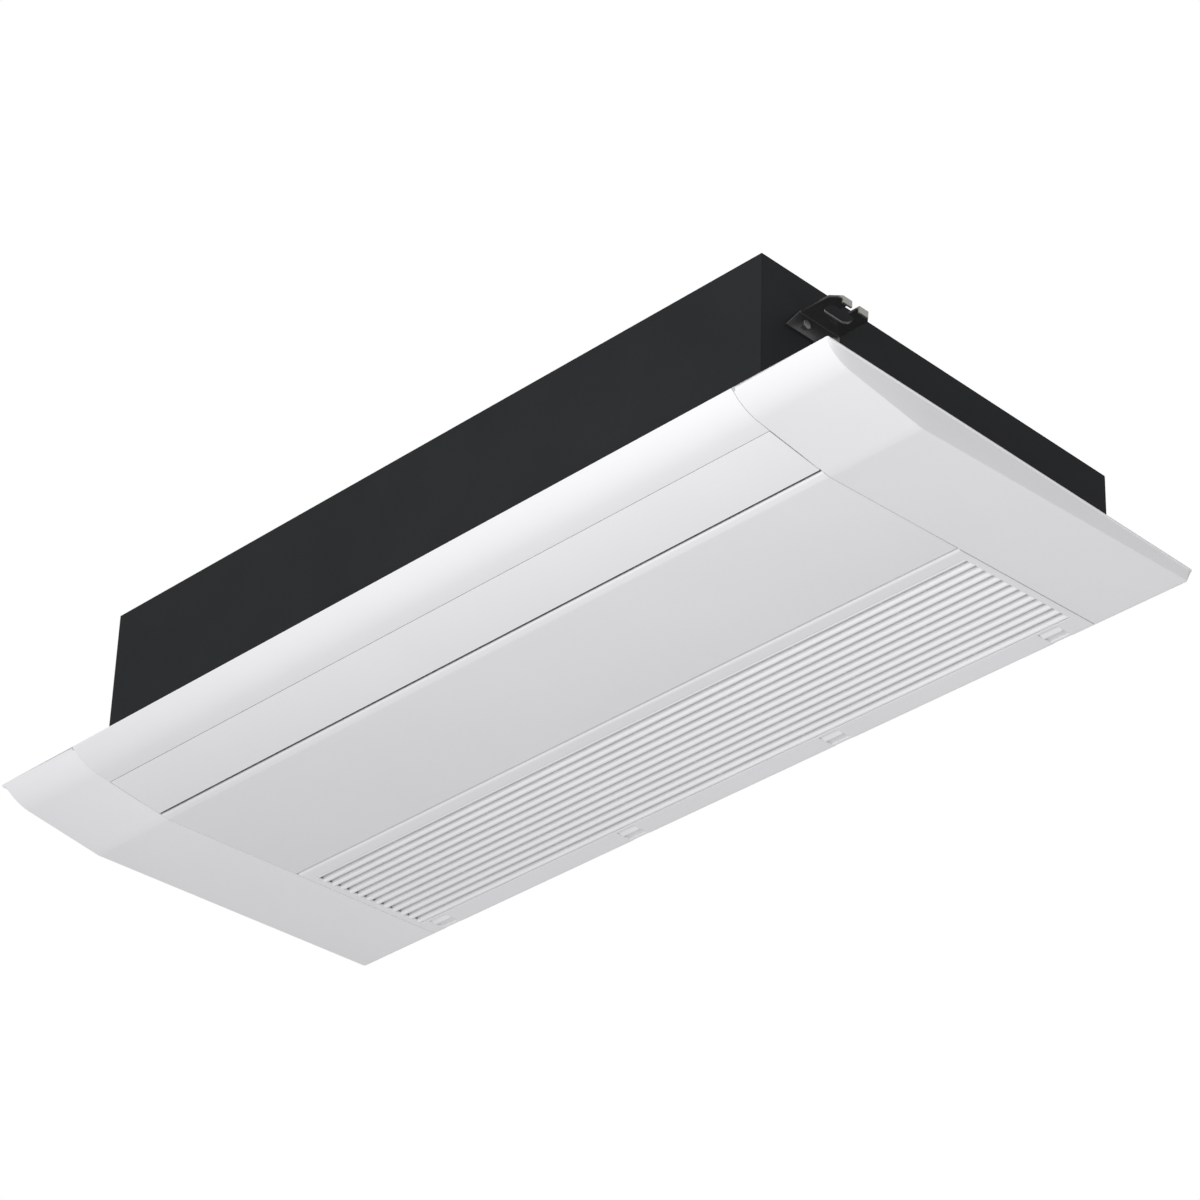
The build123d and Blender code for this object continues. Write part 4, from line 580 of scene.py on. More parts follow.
class Nodes:
    """An empty node tree and the methods that fill it."""

    def __init__(self, tree):
        self.tree = tree
        tree.nodes.clear()

    def node(self, kind, settings=None, sockets=None):
        """Adds a node: its settings first, then the values or links of its sockets."""
        node = self.tree.nodes.new(kind)
        for name, value in (settings or {}).items():
            setattr(node, name, value)
        for name, value in (sockets or {}).items():
            feed(self.tree, node.inputs[name], value)
        return node

    def add(self, kind, settings=None, sockets=None, output=0):
        """Adds a node and gives one of its outputs as a signal."""
        return Signal(self.tree, self.node(kind, settings, sockets).outputs[output])

    def shown_white(self):
        """1 for rays from the camera or from a mirror or glass, else 0."""
        path = self.node("ShaderNodeLightPath")
        rays = [Signal(self.tree, path.outputs["Is " + kind + " Ray"])
                for kind in ("Camera", "Glossy", "Transmission")]
        return rays[0].larger(rays[1]).larger(rays[2])


class Finish(Nodes):
    """A material: one Principled surface and the nodes that feed it."""

    def __init__(self, name, **constants):
        self.material = bpy.data.materials.new(name)
        self.material.use_nodes = True
        super().__init__(self.material.node_tree)
        self.surface = self.node("ShaderNodeBsdfPrincipled", None, {
            socket.replace("_", " "): value for socket, value in constants.items()
        })
        self.lit = Signal(self.tree, self.surface.outputs[0])
        self.output = self.node("ShaderNodeOutputMaterial", None, {"Surface": self.lit})
        self.place = self.add("ShaderNodeTexCoord", output="Object")

    def set(self, socket, value):
        """Sets or links one socket of the surface."""
        feed(self.tree, self.surface.inputs[socket], value)

    def show(self, light):
        """Shows another shader in place of the surface."""
        feed(self.tree, self.output.inputs["Surface"], light)

    def stretch(self, x=1.0, y=1.0, z=1.0):
        """Object coordinates with each axis scaled."""
        return self.add("ShaderNodeMapping", sockets={"Vector": self.place, "Scale": (x, y, z)})

    def axis(self, name, vector=None):
        """One axis of a vector, by default of the object coordinates in metres."""
        sockets = {"Vector": vector or self.place}
        return self.add("ShaderNodeSeparateXYZ", sockets=sockets, output=name)

    def ripple(self, name, pitch):
        """A sine between -1 and 1 along an axis, one wave each pitch metres."""
        return (self.axis(name) * (2 * math.pi / pitch)).wave()

    def noise(self, scale, detail=2.0, vector=None):
        """Smooth noise between 0 and 1, scale waves a metre."""
        sockets = {"Vector": vector or self.place, "Scale": scale, "Detail": detail}
        return self.add("ShaderNodeTexNoise", {"noise_dimensions": "3D"}, sockets)

    def cells(self, scale, output="Distance", feature="F1", vector=None):
        """Cells of about 1/scale metres."""
        sockets = {"Vector": vector or self.place, "Scale": scale}
        return self.add("ShaderNodeTexVoronoi", {"feature": feature}, sockets, output)

    def blend(self, factor, first, second):
        """A colour between two."""
        settings = {"data_type": "RGBA", "blend_type": "MIX"}
        return self.add("ShaderNodeMix", settings, {0: factor, 6: first, 7: second}, 2)

    def made(self, tone, gloss, height, depth, **others):
        """Feeds the surface and gives the material: its colour, its roughness, bumps of depth
        metres for a height from 0 to 1, and other sockets, with _ for a space in their names."""
        bump = {"Height": height, "Distance": depth, "Strength": 1.0}
        self.set("Base Color", tone)
        self.set("Roughness", gloss)
        self.set("Normal", self.add("ShaderNodeBump", sockets=bump))
        for socket, value in others.items():
            self.set(socket.replace("_", " "), value)
        return self.material


def shaded(tint, factor, lift=0.0):
    """A colour with its three values scaled and lifted."""
    return tuple(value * factor + lift for value in tint)


def moulded_plastic(name, tint, rough, grain=0.000012):
    """Moulded plastic: fine spark grain, a faint drift in tone and in gloss."""
    finish = Finish(name, Specular_IOR_Level=0.4)
    tone = finish.blend(finish.noise(7.0, detail=3.0), shaded(tint, 0.955), tint)
    gloss = rough + 0.08 * finish.noise(55.0) - 0.04
    return finish.made(tone, gloss, finish.noise(1700.0, detail=4.0), depth=grain)


def coated_steel(name, tint, rough, mirror=0.05):
    """Dark coated steel: a fine pebbled coat with a soft, uneven sheen and a little dust."""
    finish = Finish(name, Specular_IOR_Level=mirror)
    cloud, speck = finish.noise(9.0, detail=5.0), finish.noise(620.0)
    dust = (cloud * 1.6 - 0.3).clipped()
    tone = finish.blend(dust, tint, shaded(tint, 1.45, lift=0.002))
    pebble = speck + 0.4 * finish.noise(2400.0)
    return finish.made(tone, rough + 0.16 * cloud - 0.06 * speck, pebble, depth=0.00002)


def worn_steel(name, tint, tip=0.0035, onset=420.0):
    """Black coated steel with a clear gloss, worn to bare metal on the outermost tips: over the
    last tip metres of |x - middle| the wear grows by onset a metre, broken up by noise."""
    finish = Finish(name, Specular_IOR_Level=0.5, Coat_Roughness=0.2)
    low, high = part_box("front_hangers")
    middle, reach = (low.x + high.x) / 2, (high.x - low.x) / 2
    out = (finish.axis("X") - middle).size()
    patch = finish.noise(420.0, detail=4.0)
    wear = ((out - (reach - tip)) * onset + (patch - 0.55) * 1.6).clipped()
    scuff = (finish.noise(260.0, detail=5.0) * 3.2 - 2.0).clipped() * 0.35
    black = finish.blend(scuff, tint, (0.07, 0.07, 0.072))
    tone = finish.blend(wear, black, (0.3, 0.295, 0.28))
    coat = 0.35 - 0.35 * wear
    gloss = 0.3 + 0.18 * patch
    return finish.made(tone, gloss, patch, depth=0.00003, Metallic=wear, Coat_Weight=coat)


def zinc_sheet(name, tint, rough=0.34):
    """Zinc coated sheet: spangle cells that each catch the light in their own way."""
    finish = Finish(name, Metallic=1.0)
    level = finish.axis("X", finish.cells(95.0, "Color"))
    fine = finish.noise(900.0, detail=3.0)
    tone = finish.blend(level, shaded(tint, 0.78), tint)
    gloss = rough + 0.14 * level + 0.08 * fine
    return finish.made(tone, gloss, level * 0.5 + fine, depth=0.000015)


def plated_screw(name):
    """Plated screw steel with a fine haze."""
    finish = Finish(name, Metallic=1.0)
    haze = finish.noise(1400.0)
    tone = finish.blend(haze, (0.2, 0.2, 0.205), (0.36, 0.36, 0.355))
    return finish.made(tone, 0.24 + 0.2 * haze, haze, depth=0.00001)


def bead_foam(name, tint):
    """Moulded bead foam: round beads pressed together, dark in the joints."""
    finish = Finish(name, Specular_IOR_Level=0.2)
    edge = finish.cells(260.0, feature="DISTANCE_TO_EDGE")
    joint = (1.0 - edge * 9.0).clipped()
    tone = finish.blend(joint, tint, shaded(tint, 0.8))
    return finish.made(tone, 0.75 + 0.15 * joint, 1.0 - joint, depth=0.0002)


def fin_stock(name, pitch=0.0016):
    """Fin stock seen edge on: a fin each pitch along X, with painted shade between the fins in
    place of the dark air between them.
    """
    finish = Finish(name)
    wave = finish.ripple("X", pitch) * 0.5 + 0.5
    painted_gap_shade = (1.0 - wave * 1.7).clipped()
    # Painted shade: the gaps between the fins get a near-black colour that stands for the shade in
    # the air between them.
    tone = finish.blend(painted_gap_shade, (0.66, 0.69, 0.71), (0.08, 0.085, 0.09))
    gloss = 0.3 + 0.2 * finish.noise(30.0, detail=3.0)
    return finish.made(tone, gloss, wave, depth=0.0003, Metallic=0.9 - 0.6 * painted_gap_shade)


def drawn_copper(name, tint):
    """Drawn copper: faint tarnish clouds and fine lines along X."""
    finish = Finish(name, Metallic=1.0)
    tarnish = finish.noise(38.0, detail=4.0)
    darker = (tint[0] * 0.55, tint[1] * 0.45, tint[2] * 0.4)
    tone = finish.blend((tarnish * 1.5 - 0.35).clipped(), tint, darker)
    lines = finish.noise(700.0, vector=finish.stretch(x=0.15))
    return finish.made(tone, 0.22 + 0.25 * tarnish, lines, depth=0.00001)


def filter_net(name, tint, pitch=0.0015):
    """Filter net: a square weave of fine pale threads, with painted shade in the openings between
    them.
    """
    finish = Finish(name, Specular_IOR_Level=0.3)
    weave = finish.ripple("X", pitch).larger(finish.ripple("Y", pitch))
    thread = (weave * 0.5 + 0.5) ** 2.0
    # Painted shade: the openings between the threads are darkened to about a third of the tint,
    # standing in for the shade seen through the net.
    tone = finish.blend(thread, shaded(tint, 0.35), tint)
    return finish.made(tone, 0.5 + 0.2 * thread, thread, depth=0.0002)


def moulded_rubber(name):
    """Soft black rubber with a dusty bloom."""
    finish = Finish(name, Specular_IOR_Level=0.35)
    bloom = finish.noise(120.0, detail=4.0)
    tone = finish.blend(bloom, (0.012, 0.012, 0.012), (0.035, 0.035, 0.034))
    return finish.made(tone, 0.6 + 0.2 * bloom, finish.noise(1500.0), depth=0.00003)


def circuit_board(name, tint):
    """Coated board: paler runs along the edges of cells about 5 mm wide, and bright pads where
    finer cells meet."""
    finish = Finish(name, Specular_IOR_Level=0.5)
    raster = finish.cells(210.0, feature="DISTANCE_TO_EDGE", vector=finish.stretch(z=0.2))
    run = (raster * 14.0 - 0.5).clipped()
    pads = finish.cells(400.0).above(0.93)
    lines = finish.blend(run, shaded(tint, 2.1), tint)
    tone = finish.blend(pads, lines, (0.5, 0.5, 0.46))
    return finish.made(tone, 0.3 + 0.15 * run, 1.0 - run, depth=0.00003)


FINISHES = {}


def dress(piece, slot):
    """Gives every material slot of a piece the finish of the record's slot."""
    if not piece.data.materials:
        piece.data.materials.append(FINISHES[slot])
    for holder in piece.material_slots:
        holder.link = "OBJECT"
        holder.material = FINISHES[slot]


# ---------------------------------------------------------------- operators
class CASSETTE_OT_finishes(bpy.types.Operator):
    """Mix the finishes and put them on every node of the frame"""

    bl_idname = "cassette.finishes"
    bl_label = "Finishes"

    def execute(self, context):
        c = context.scene.cassette_colours
        FINISHES.update(
            panel_white=moulded_plastic("satin_white_plastic", tuple(c.panel), rough=0.42),
            galvanised_dark=coated_steel("dark_coated_sheet", tuple(c.casing), rough=0.55),
            bracket_black=worn_steel("worn_black_steel", tuple(c.bracket)),
            galvanised_bare=zinc_sheet("zinc_spangle", tuple(c.zinc)),
            screw_steel=plated_screw("plated_screw"),
            filter_grey=filter_net("filter_net", tuple(c.filter)),
            foam_white=bead_foam("bead_foam", tuple(c.foam)),
            plastic_black=moulded_plastic("black_plastic", tuple(c.dark_plastic), rough=0.5),
            plastic_grey=moulded_plastic("grey_plastic", tuple(c.grey_plastic), rough=0.5),
            rubber_black=moulded_rubber("black_rubber"),
            fin_aluminium=fin_stock("fin_stock"),
            copper=drawn_copper("drawn_copper", tuple(c.copper)),
            board_green=circuit_board("coated_board", tuple(c.board)),
        )
        for node, piece in frame["nodes"].items():
            dress(piece, SLOTS[node])
        return {"FINISHED"}


class CASSETTE_OT_front_strip(bpy.types.Operator):
    """Make the rolled strip in front of the vane"""

    bl_idname = "cassette.front_strip"
    bl_label = "Front strip"

    def execute(self, context):
        s = context.scene.cassette_panel
        face = Face(s)
        low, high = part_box("front_strip")
        edge, inner = high.y, high.y - s.wall
        top = float(face.plane(edge, s.wall)) + s.flange_rise
        flange = np.array([
            (edge, face.plane(edge)), (edge, top), (inner, top), (inner, face.plane(inner, s.wall)),
        ], float)
        outside, inside = face.roll(), face.roll(s.wall)
        flange = softened(
            np.concatenate([outside[-1:], flange, inside[-1:]]), [0, s.soft_edge, SOFT, SOFT, 0, 0]
        )
        outline = np.concatenate([outside[:-1], flange, inside[:-1][::-1]])
        ends = low.x - s.blind_seam, high.x + s.blind_seam
        make_piece("rolled_front_strip", [carried(outline, *ends, HAIR)], "front_strip")
        return {"FINISHED"}


class CASSETTE_OT_mid_panel(bpy.types.Operator):
    """Make the plain plate between the vane and the grille"""

    bl_idname = "cassette.mid_panel"
    bl_label = "Middle panel"

    def execute(self, context):
        s = context.scene.cassette_panel
        face = Face(s)
        low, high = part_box("mid_panel")
        front, rear, wall, top = low.y, high.y - s.grille_seam, s.wall, -s.plate_depth
        step = front + s.step_wall
        corners = [
            (front, face.plane(front)), (face.crease, face.plane(face.crease)),
            (rear, face.plane(rear)), (rear, face.plane(rear, wall)),
            (face.crease, face.plane(face.crease, wall)),
            (step + wall, face.plane(step + wall, wall)), (step + wall, top),
            (step, top), (step, face.plane(step, wall)), (front, face.plane(front, wall)),
        ]
        fine, inner = s.fine_edge, s.inner_round
        radii = [s.step_round, s.crease_round, fine, fine, inner, inner, fine, fine, 0, fine]
        islands = [carried(softened(corners, radii), low.x, high.x)]
        back = high.y - s.tab_in
        fore = back - s.tab_wall
        foot = float(face.plane(back, wall / 2))
        tab = softened([(fore, foot), (back, foot), (back, top), (fore, top)], [0, 0, EASE, EASE])
        islands += [
            carried(tab, x - s.tab_half, x + s.tab_half)
            for x in hinge_places(context.scene.cassette_grille)
        ]
        make_piece("plain_middle_panel", islands, "mid_panel")
        return {"FINISHED"}


class CASSETTE_OT_vane(bpy.types.Operator):
    """Make the vane with its arms, pin and socket"""

    bl_idname = "cassette.vane"
    bl_label = "Vane"

    def execute(self, context):
        s, v = context.scene.cassette_panel, context.scene.cassette_vane
        face = Face(s)
        strip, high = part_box("front_strip")[1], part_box("vane")[1]
        reach, half = strip.x, strip.x - v.end_seams
        outer, inner = strip.y + v.front_seam, high.y - v.rear_gap
        lean = np.array([math.sin(face.tilt), math.cos(face.tilt)])
        start = np.array([outer, float(face.plane(outer))])
        end = np.array([inner, float(face.plane(inner))])
        t = np.linspace(1 - v.plain_edge, v.plain_edge, 30)[:, None]
        back = start + (end - start) * t + lean * (v.skin + v.bulge * 4 * t * (1 - t))
        ends = softened([back[-1], start, end, back[0]], [0, s.fine_edge, s.soft_edge, 0])
        outline = np.concatenate([ends, back[1:-1]])
        pivot = high.y - v.pivot_in
        axis = pivot, float(face.plane(pivot)) + v.pivot_up
        islands = [carried(outline, -half, half)]
        islands += [self.arm(face, v, axis, side * reach) for side in (-1, 1)]
        islands += self.journals(v, axis, reach, high.x)
        make_piece("bowed_vane", islands, "vane")
        return {"FINISHED"}

    def arm(self, face, v, axis, outside):
        """An arm at one end, from the vane's skin up round the pivot."""
        y, z = axis
        root, toe = y - v.arm_reach, y + v.arm_toe
        corners = [
            (root, face.plane(root, v.skin)), (toe, face.plane(toe, v.toe_depth)),
            (y + v.arm_head, z), (y, z + v.arm_head), (y - v.shoulder_in, z + v.shoulder_up),
        ]
        radii = [0, EASE, v.arm_round, v.arm_round, v.arm_round / 2]
        near, far = sorted((outside - math.copysign(v.arm_wall, outside), outside))
        return carried(softened(corners, radii), near, far)

    def journals(self, v, axis, reach, pin_end):
        """The pin at the right end and the socket for the motor's shaft at the left end."""
        root = reach - LAP
        pin = [
            (root, 0.0), (root, v.pin_radius), (pin_end - SOFT, v.pin_radius),
            (pin_end, v.pin_radius - SOFT), (pin_end, 0.0),
        ]
        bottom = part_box("vane_shaft")[1].x + v.shaft_play
        stop = v.socket_length - reach
        socket = [
            (-reach, v.socket_bore), (-reach, v.socket_radius), (stop, v.socket_radius),
            (stop, 0.0), (bottom, 0.0), (bottom, v.socket_bore),
        ]
        return [turned(pin, *axis), turned(socket, *axis)]


class CASSETTE_OT_end_covers(bpy.types.Operator):
    """Make the two ends of the panel with their end walls and lips"""

    bl_idname = "cassette.end_covers"
    bl_label = "End covers"

    def execute(self, context):
        s = context.scene.cassette_panel
        face = Face(s)
        low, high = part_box("right_end_cover")
        seam, tip, wall = low.x, high.x, s.wall
        end = tip - s.lip_reach
        y, filled = self.stations(face, s)
        inside = face.height(y, wall)
        lower = face.height(y) + fallen(y - (face.rear - s.rear_round), s.rear_round)
        outer = end - fallen(y - (face.rear - s.corner_round), s.corner_round)
        from_end = np.minimum(y - face.front, face.rear - y)
        lip = np.maximum(tip - fallen(s.lip_corner - from_end, s.lip_corner), outer + FINE)
        flared = np.maximum(lip - s.lip_step, outer)
        lip_low = np.maximum(-s.lip_thickness, lower)
        hollow = np.minimum(end - wall, outer)
        floor = np.maximum(np.where(filled, 0.0, np.minimum(inside, 0.0)), lower)
        seam_top = np.maximum(np.where(filled, 0.0, -s.plate_depth), lower)
        seam_floor = np.where(filled, 0.0, np.maximum(np.minimum(inside, seam_top), lower))
        points = [
            (seam, lower), (outer, lower), (flared, lip_low), (lip, lip_low), (lip, 0.0),
            (hollow, 0.0), (hollow, floor), (seam + wall, seam_floor), (seam + wall, seam_top),
            (seam, seam_top),
        ]
        corners = np.stack(
            [np.stack(np.broadcast_arrays(x, z, y)[:2], axis=1) for x, z in points], axis=1
        )
        rings = softened(corners, [s.seam_round, s.foot_round, 0, SOFT, SOFT, 0, 0, 0, 0, 0])
        along = np.broadcast_to(y[:, None, None], rings.shape[:2] + (1,))
        right = np.concatenate([rings[..., :1], along, rings[..., 1:]], axis=2)
        for hand, side in (("right", 1.0), ("left", -1.0)):
            skin = shell(right * np.array([side, 1.0, 1.0]))
            make_piece(hand + "_end_skin", [skin], hand + "_end_cover")
        return {"FINISHED"}

    def stations(self, face, s):
        """Y of the sections, and which of them lie in the solid rear wall: even in angle over the
        round, doubled where the hollow ends, close together at the rounded rear corner."""
        roll = face.roll(points=34)[:, 0]
        flat = np.linspace(roll[-1], face.rear - s.corner_round, 40)[1:]
        turn = np.linspace(0, math.pi / 2, 10)[1:]
        corner = face.rear - s.corner_round * (1 - np.sin(turn))
        wall_start = face.rear - s.wall
        marks = [face.rim(s.wall), face.crease, wall_start, face.rear - LAP]
        y = np.unique(np.concatenate([roll, flat, corner, marks]))
        where = int(np.searchsorted(y, wall_start))
        y = np.insert(y, where, wall_start)
        return y, np.arange(len(y)) > where


class CASSETTE_OT_grille(bpy.types.Operator):
    """Make the slatted intake grille with its ribs, hinge knuckles and latch wells"""

    bl_idname = "cassette.grille"
    bl_label = "Intake grille"

    def execute(self, context):
        s, g = context.scene.cassette_panel, context.scene.cassette_grille
        face = Face(s)
        low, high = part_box("intake_grille")
        field = (low.y + g.front_strip, high.y - g.rear_strip)
        span = high.x - g.end_bar
        latches = [middle_x(node) for node in LATCHES]
        islands = [self.skin(face, s, g, field, span, latches)]
        islands += self.slats(face, g, field, span)
        islands += self.ribs(face, g, field, span)
        for x in hinge_places(g):
            islands += self.hinge(face, s, g, x)
        for x in latches:
            islands += self.well(face, s, g, x)
        make_piece("slatted_grille", islands, "intake_grille")
        return {"FINISHED"}

    def skin(self, face, s, g, field, span, latches):
        """The plain skin: lines of X at the openings' edges, doubled at the notches, where the
        rim behind a notch steps in; lines of Y close together round the nose and the rear edge."""
        low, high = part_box("intake_grille")
        left, right = low.x + g.end_seam, high.x - g.end_seam
        half = g.latch_width / 2 + g.latch_gap
        sides = [x + side * half for x in latches for side in (-1, -1, 1, 1)]
        xs = np.array([left, -span, *sides, span, right])
        inner = np.array([0, 0, *[0, 1, 1, 0] * len(latches), 0, 0], bool)
        pivot = low.y + g.hinge_up
        turn = np.linspace(0, math.pi / 2, 9)
        nose = pivot - g.hinge_up * np.cos(turn)
        tail = high.y - s.rear_round * (1 - np.sin(turn))
        notch = (high.y - g.latch_notch, high.y - g.back_rim)
        flange = high.y - s.wall
        bite = g.slat_width * g.slat_bite
        stops = [pivot + g.nose_flat, field[0] + bite, field[1] - bite, *notch, flange]
        ys = np.unique(np.concatenate([nose, tail, stops]))
        step = int(np.searchsorted(ys, flange))
        ys = np.insert(ys, step, flange)
        pivot_z = float(face.plane(pivot, g.hinge_up))
        bow = pivot_z - np.sqrt(np.maximum(g.hinge_up**2 - (ys - pivot) ** 2, 0.0))
        room = np.where(ys < pivot, bow, face.plane(ys))
        room = room + fallen(ys - (high.y - s.rear_round), s.rear_round)
        ramp = np.interp(ys, [low.y, stops[0]], [pivot_z, float(face.plane(stops[0], s.wall))])
        back = np.where(ys < stops[0], ramp, face.plane(ys, s.wall))
        back[np.arange(len(ys)) > step] = -s.plate_depth
        lower = room + np.outer(inner, ys >= notch[1]) * g.rim_recess
        upper = np.broadcast_to(back, lower.shape)
        across, along = (xs[1:] + xs[:-1]) / 2, (ys[1:] + ys[:-1]) / 2
        in_field = np.outer(np.abs(across) < span, (along > stops[1]) & (along < stops[2]))
        in_notch = np.outer(inner[1:] & inner[:-1], (along > notch[0]) & (along < notch[1]))
        return slab(xs, ys, ~(in_field | in_notch), lower, upper)

    def slats(self, face, g, field, span):
        """The slats: across t from -1 to 1 the room side lies crown t^2 inside the face."""
        half = g.slat_width / 2
        t = np.linspace(-1, 1, 13)
        radii = [SOFT] + [0] * (len(t) - 2) + [SOFT, FINE, FINE]
        depth = np.append(g.slat_crown * t**2, [g.slat_height, g.slat_height])
        back = half + g.slat_draft
        islands = []
        for y in np.linspace(field[0] + half, field[1] - half, g.slat_count):
            across = y + np.append(half * t, [back, -back])
            outline = softened(np.stack([across, face.plane(across, depth)], axis=1), radii)
            islands.append(carried(outline, -span - g.slat_end, span + g.slat_end, g.slat_end))
        return islands

    def ribs(self, face, g, field, span):
        """Ribs over the slats' backs."""
        low, high = g.slat_height - g.rib_sink, g.slat_height + g.rib_rise
        outline = softened(
            face.band(field[0] - HALF_LAP, field[1] + HALF_LAP, low, high), [0, 0, SOFT, SOFT]
        )
        half = g.rib_width / 2
        places = np.linspace(-span, span, g.rib_count + 2)[1:-1]
        return [carried(outline, x - half, x + half) for x in places]

    def hinge(self, face, s, g, x):
        """A knuckle with its gusset and a pin out of both sides."""
        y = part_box("intake_grille")[0].y + g.hinge_up
        z = float(face.plane(y, g.hinge_up))
        half, radius = g.hinge_width / 2, g.hinge_up - FINE
        back = y + g.gusset_length
        gusset = [
            (y, face.plane(y, g.gusset_sink)), (back, face.plane(back, g.gusset_sink)),
            (back, face.plane(back, s.wall)), (y, z + radius),
        ]
        return [
            turned(self.rod(x, half, radius), y, z),
            turned(self.rod(x, g.hinge_reach, g.hinge_pin), y, z),
            carried(softened(gusset, [0, 0, EASE, EASE]), x - half, x + half),
        ]

    def rod(self, x, half, radius):
        """Profile (x, radius) of a round rod with eased ends."""
        return [
            (x - half, 0.0), (x - half, radius - SOFT), (x - half + SOFT, radius),
            (x + half - SOFT, radius), (x + half, radius - SOFT), (x + half, 0.0),
        ]

    def well(self, face, s, g, x):
        """The floor over a latch, slotted for its post, and a cheek at each side."""
        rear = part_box("intake_grille")[1].y
        front = rear - g.latch_notch
        half = g.latch_width / 2 + g.latch_gap
        floor = 1.5 * g.latch_gap + g.latch_tab
        slot = g.post_half + g.latch_gap
        xs = x + np.array([-half - g.well_wall, -slot, slot, half + g.well_wall])
        start = front + g.slot_in
        ys = np.array([front - HALF_LAP, start, start + g.slot_length, rear - LAP])
        filled = np.ones((3, 3), bool)
        filled[1, 1] = False
        low, high = face.plane(ys, floor), face.plane(ys, floor + g.well_wall)
        every = len(xs), 1
        islands = [slab(xs, ys, filled, np.tile(low, every), np.tile(high, every))]
        end = rear - g.back_rim + HALF_LAP
        cheek = softened(face.band(ys[0], end, s.wall - SOFT, floor + SOFT), [0, 0, 0, 0])
        for side in (-1, 1):
            near, far = sorted((half + HAIR, half + g.well_wall - HAIR), key=lambda d: side * d)
            islands.append(carried(cheek, x + side * near, x + side * far, HAIR))
        return islands


class CASSETTE_OT_latches(bpy.types.Operator):
    """Make the four sliding latches"""

    bl_idname = "cassette.latches"
    bl_label = "Latches"

    def execute(self, context):
        g = context.scene.cassette_grille
        face = Face(context.scene.cassette_panel)
        half, back, rise = g.latch_width / 2, g.latch_gap / 2 + g.latch_tab, math.tan(g.nose_slope)
        for node in LATCHES:
            low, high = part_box(node)
            x, front, rear, top = middle_x(node), low.y, high.y, high.z
            ridge = front + g.latch_ridge
            tab = softened(
                [(front, face.plane(front, g.latch_recess)),
                 (ridge, face.plane(ridge, -g.latch_proud)),
                 (rear, face.plane(rear, g.latch_dip)), (rear, face.plane(rear, back)),
                 (front, face.plane(front, back))],
                [EASE, g.ridge_round, SOFT, EASE, EASE],
            )
            nose_y, nose_z = front + g.nose_in, top - g.nose_drop
            post_y = rear - g.post_rear
            foot = float(face.plane(post_y, g.latch_tab - FINE))
            post = softened(
                [(nose_y + (nose_z - foot) / rise, foot), (nose_y, nose_z),
                 (nose_y + (top - nose_z) / rise, top), (post_y, top), (post_y, foot)],
                [0, FINE, EASE, SOFT, 0],
            )
            apron = face.band(rear - LAP, rear + g.apron, g.latch_tab - HAIR, back)
            islands = [
                carried(tab, x - half, x + half, g.latch_ease),
                carried(softened(apron, [0, 0, 0, 0]), x - half, x + half, HAIR),
                carried(post, x - g.post_half, x + g.post_half),
            ]
            make_piece("sliding_" + node, islands, node)
        return {"FINISHED"}


class CASSETTE_OT_casing(bpy.types.Operator):
    """Ease the edges of the casing's sheets"""

    bl_idname = "cassette.casing"
    bl_label = "Casing"

    def execute(self, context):
        for node in CASING:
            eased(node, node + "_sheet", SHEET_EDGE)
        return {"FINISHED"}


class CASSETTE_OT_hangers(bpy.types.Operator):
    """Ease the hanging brackets and their screws"""

    bl_idname = "cassette.hangers"
    bl_label = "Hanging brackets"

    def execute(self, context):
        eased("front_hangers", "front_bracket_pair", BRACKET_EDGE)
        eased("rear_hangers", "rear_bracket_pair", BRACKET_EDGE)
        eased("hanger_screws", "bracket_screw_set", EASE)
        return {"FINISHED"}


class CASSETTE_OT_mechanics(bpy.types.Operator):
    """Ease the edges of the small hidden pieces"""

    bl_idname = "cassette.mechanics"
    bl_label = "Hidden pieces"

    def execute(self, context):
        for node in EASED:
            eased(node, node + "_eased", FINE)
        return {"FINISHED"}


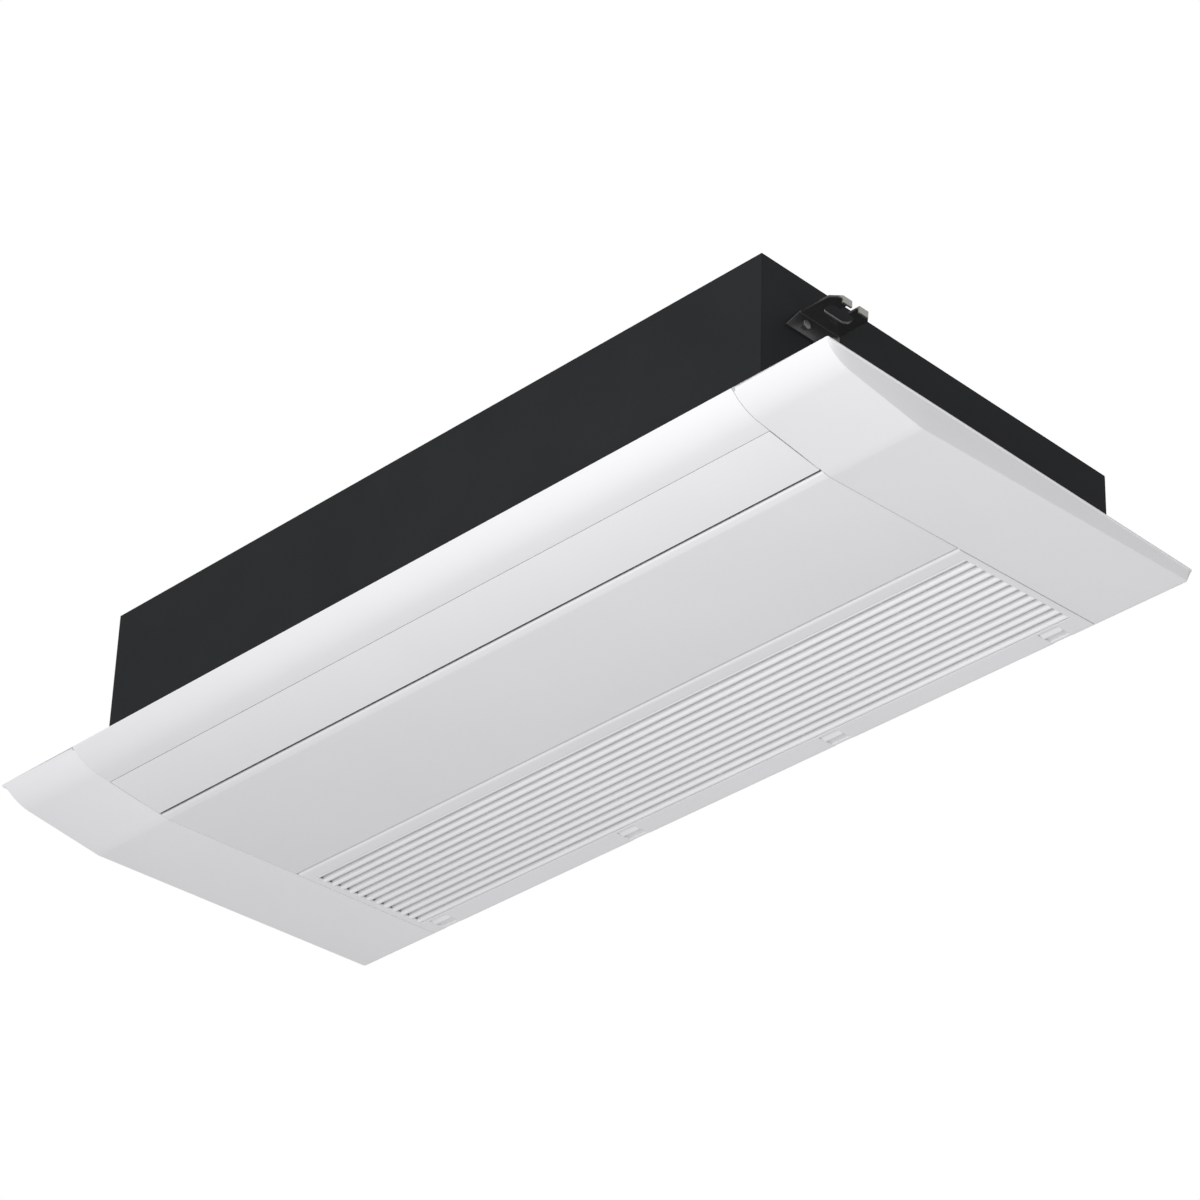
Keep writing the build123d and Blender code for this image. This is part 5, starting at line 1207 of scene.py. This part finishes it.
class CASSETTE_OT_stage(bpy.types.Operator):
    """Make the floor, the light and the camera"""

    bl_idname = "cassette.stage"
    bl_label = "Stage"

    def execute(self, context):
        s = context.scene.cassette_stage
        self.floor(context, s)
        self.world(context, s)
        self.lamp(context, s)
        self.camera(context, s)
        context.scene.view_settings.view_transform = "Standard"
        return {"FINISHED"}

    def floor(self, context, s):
        """A wide pale plane: height -depth over a grid of two parameters. The camera sees it
        nearly white, and other rays see its own shade and a set share of glow."""
        line = np.linspace(-s.floor_half, s.floor_half, 5)
        u, v = np.meshgrid(line, line, indexing="ij")
        vertices = np.stack([u, v, np.full_like(u, -s.floor_depth)], axis=2).reshape(-1, 3)
        number = np.arange(u.size).reshape(u.shape)
        quads = [number[:-1, :-1], number[1:, :-1], number[1:, 1:], number[:-1, 1:]]
        mesh = bpy.data.meshes.new("pale_floor")
        mesh.from_pydata(vertices.tolist(), [], np.stack(quads, axis=-1).reshape(-1, 4).tolist())
        floor = bpy.data.objects.new("pale_floor", mesh)
        context.scene.collection.objects.link(floor)
        finish = Finish("pale_floor")
        finish.set("Base Color", (0.82, 0.82, 0.82))
        finish.set("Roughness", 0.85 + 0.1 * finish.noise(3.0))
        glow_share = finish.shown_white() * (s.floor_white - s.bounce) + s.bounce
        glow = finish.add("ShaderNodeEmission")
        sockets = {0: glow_share, 1: finish.lit, 2: glow}
        finish.show(finish.add("ShaderNodeMixShader", sockets=sockets))
        mesh.materials.append(finish.material)

    def world(self, context, s):
        """An even light from all round, shown white."""
        world = bpy.data.worlds.new("even_light")
        world.use_nodes = True
        context.scene.world = world
        nodes = Nodes(world.node_tree)
        strength = nodes.shown_white() * (1.0 - s.fill) + s.fill
        sky = nodes.add("ShaderNodeBackground", sockets={0: (1.0, 1.0, 1.0), 1: strength})
        nodes.node("ShaderNodeOutputWorld", sockets={"Surface": sky})

    def lamp(self, context, s):
        """One soft key from below the front right corner."""
        lamp = bpy.data.lights.new("soft_key", "AREA")
        lamp.energy = s.key
        lamp.size = s.key_size
        key = bpy.data.objects.new("soft_key", lamp)
        context.scene.collection.objects.link(key)
        key.location = s.key_place
        key.rotation_euler = (-Vector(s.key_place)).to_track_quat("-Z", "Y").to_euler()
        key.visible_camera = False

    def camera(self, context, s):
        """The photograph's viewpoint, from below the front right corner."""
        eye, target = Vector(s.eye), Vector(s.target)
        back = (eye - target).normalized()
        right = Vector((0, 0, 1)).cross(back).normalized()
        up = back.cross(right)
        rolled_right = right * math.cos(s.roll) + up * math.sin(s.roll)
        rolled_up = up * math.cos(s.roll) - right * math.sin(s.roll)
        data = bpy.data.cameras.new("photo_view")
        data.lens = s.lens
        data.sensor_width = s.sensor
        data.clip_end = s.sight
        camera = bpy.data.objects.new("photo_view", data)
        context.scene.collection.objects.link(camera)
        basis = Matrix((rolled_right, rolled_up, back)).transposed().to_4x4()
        camera.matrix_world = Matrix.Translation(eye) @ basis
        context.scene.camera = camera


OPERATORS = (
    CASSETTE_OT_finishes, CASSETTE_OT_front_strip, CASSETTE_OT_mid_panel, CASSETTE_OT_vane,
    CASSETTE_OT_end_covers, CASSETTE_OT_grille, CASSETTE_OT_latches, CASSETTE_OT_casing,
    CASSETTE_OT_hangers, CASSETTE_OT_mechanics, CASSETTE_OT_stage,
)
GROUPS = (
    ("Panel", "cassette_panel", PanelSizes), ("Vane", "cassette_vane", VaneSizes),
    ("Grille", "cassette_grille", GrilleSizes), ("Colours", "cassette_colours", Colours),
    ("Stage", "cassette_stage", StageSettings),
)


class CASSETTE_PT_pieces(bpy.types.Panel):
    """Sizes, colours and pieces of the ceiling cassette"""

    bl_idname = "CASSETTE_PT_pieces"
    bl_label = "Ceiling cassette"
    bl_space_type = "VIEW_3D"
    bl_region_type = "UI"
    bl_category = "Cassette"

    def draw(self, context):
        for title, name, group in GROUPS:
            box = self.layout.box()
            box.label(text=title)
            for field in group.__annotations__:
                box.prop(getattr(context.scene, name), field)
        for operator in OPERATORS:
            self.layout.operator(operator.bl_idname)


def register():
    for _, name, group in GROUPS:
        bpy.utils.register_class(group)
        setattr(bpy.types.Scene, name, bpy.props.PointerProperty(type=group))
    for item in (*OPERATORS, CASSETTE_PT_pieces):
        bpy.utils.register_class(item)


def unregister():
    for item in (CASSETTE_PT_pieces, *reversed(OPERATORS)):
        bpy.utils.unregister_class(item)
    for _, name, group in reversed(GROUPS):
        delattr(bpy.types.Scene, name)
        bpy.utils.unregister_class(group)


def main():
    register()
    for operator in OPERATORS:
        _, action = operator.bl_idname.split(".")
        getattr(bpy.ops.cassette, action)()


if __name__ == "__main__":
    main()
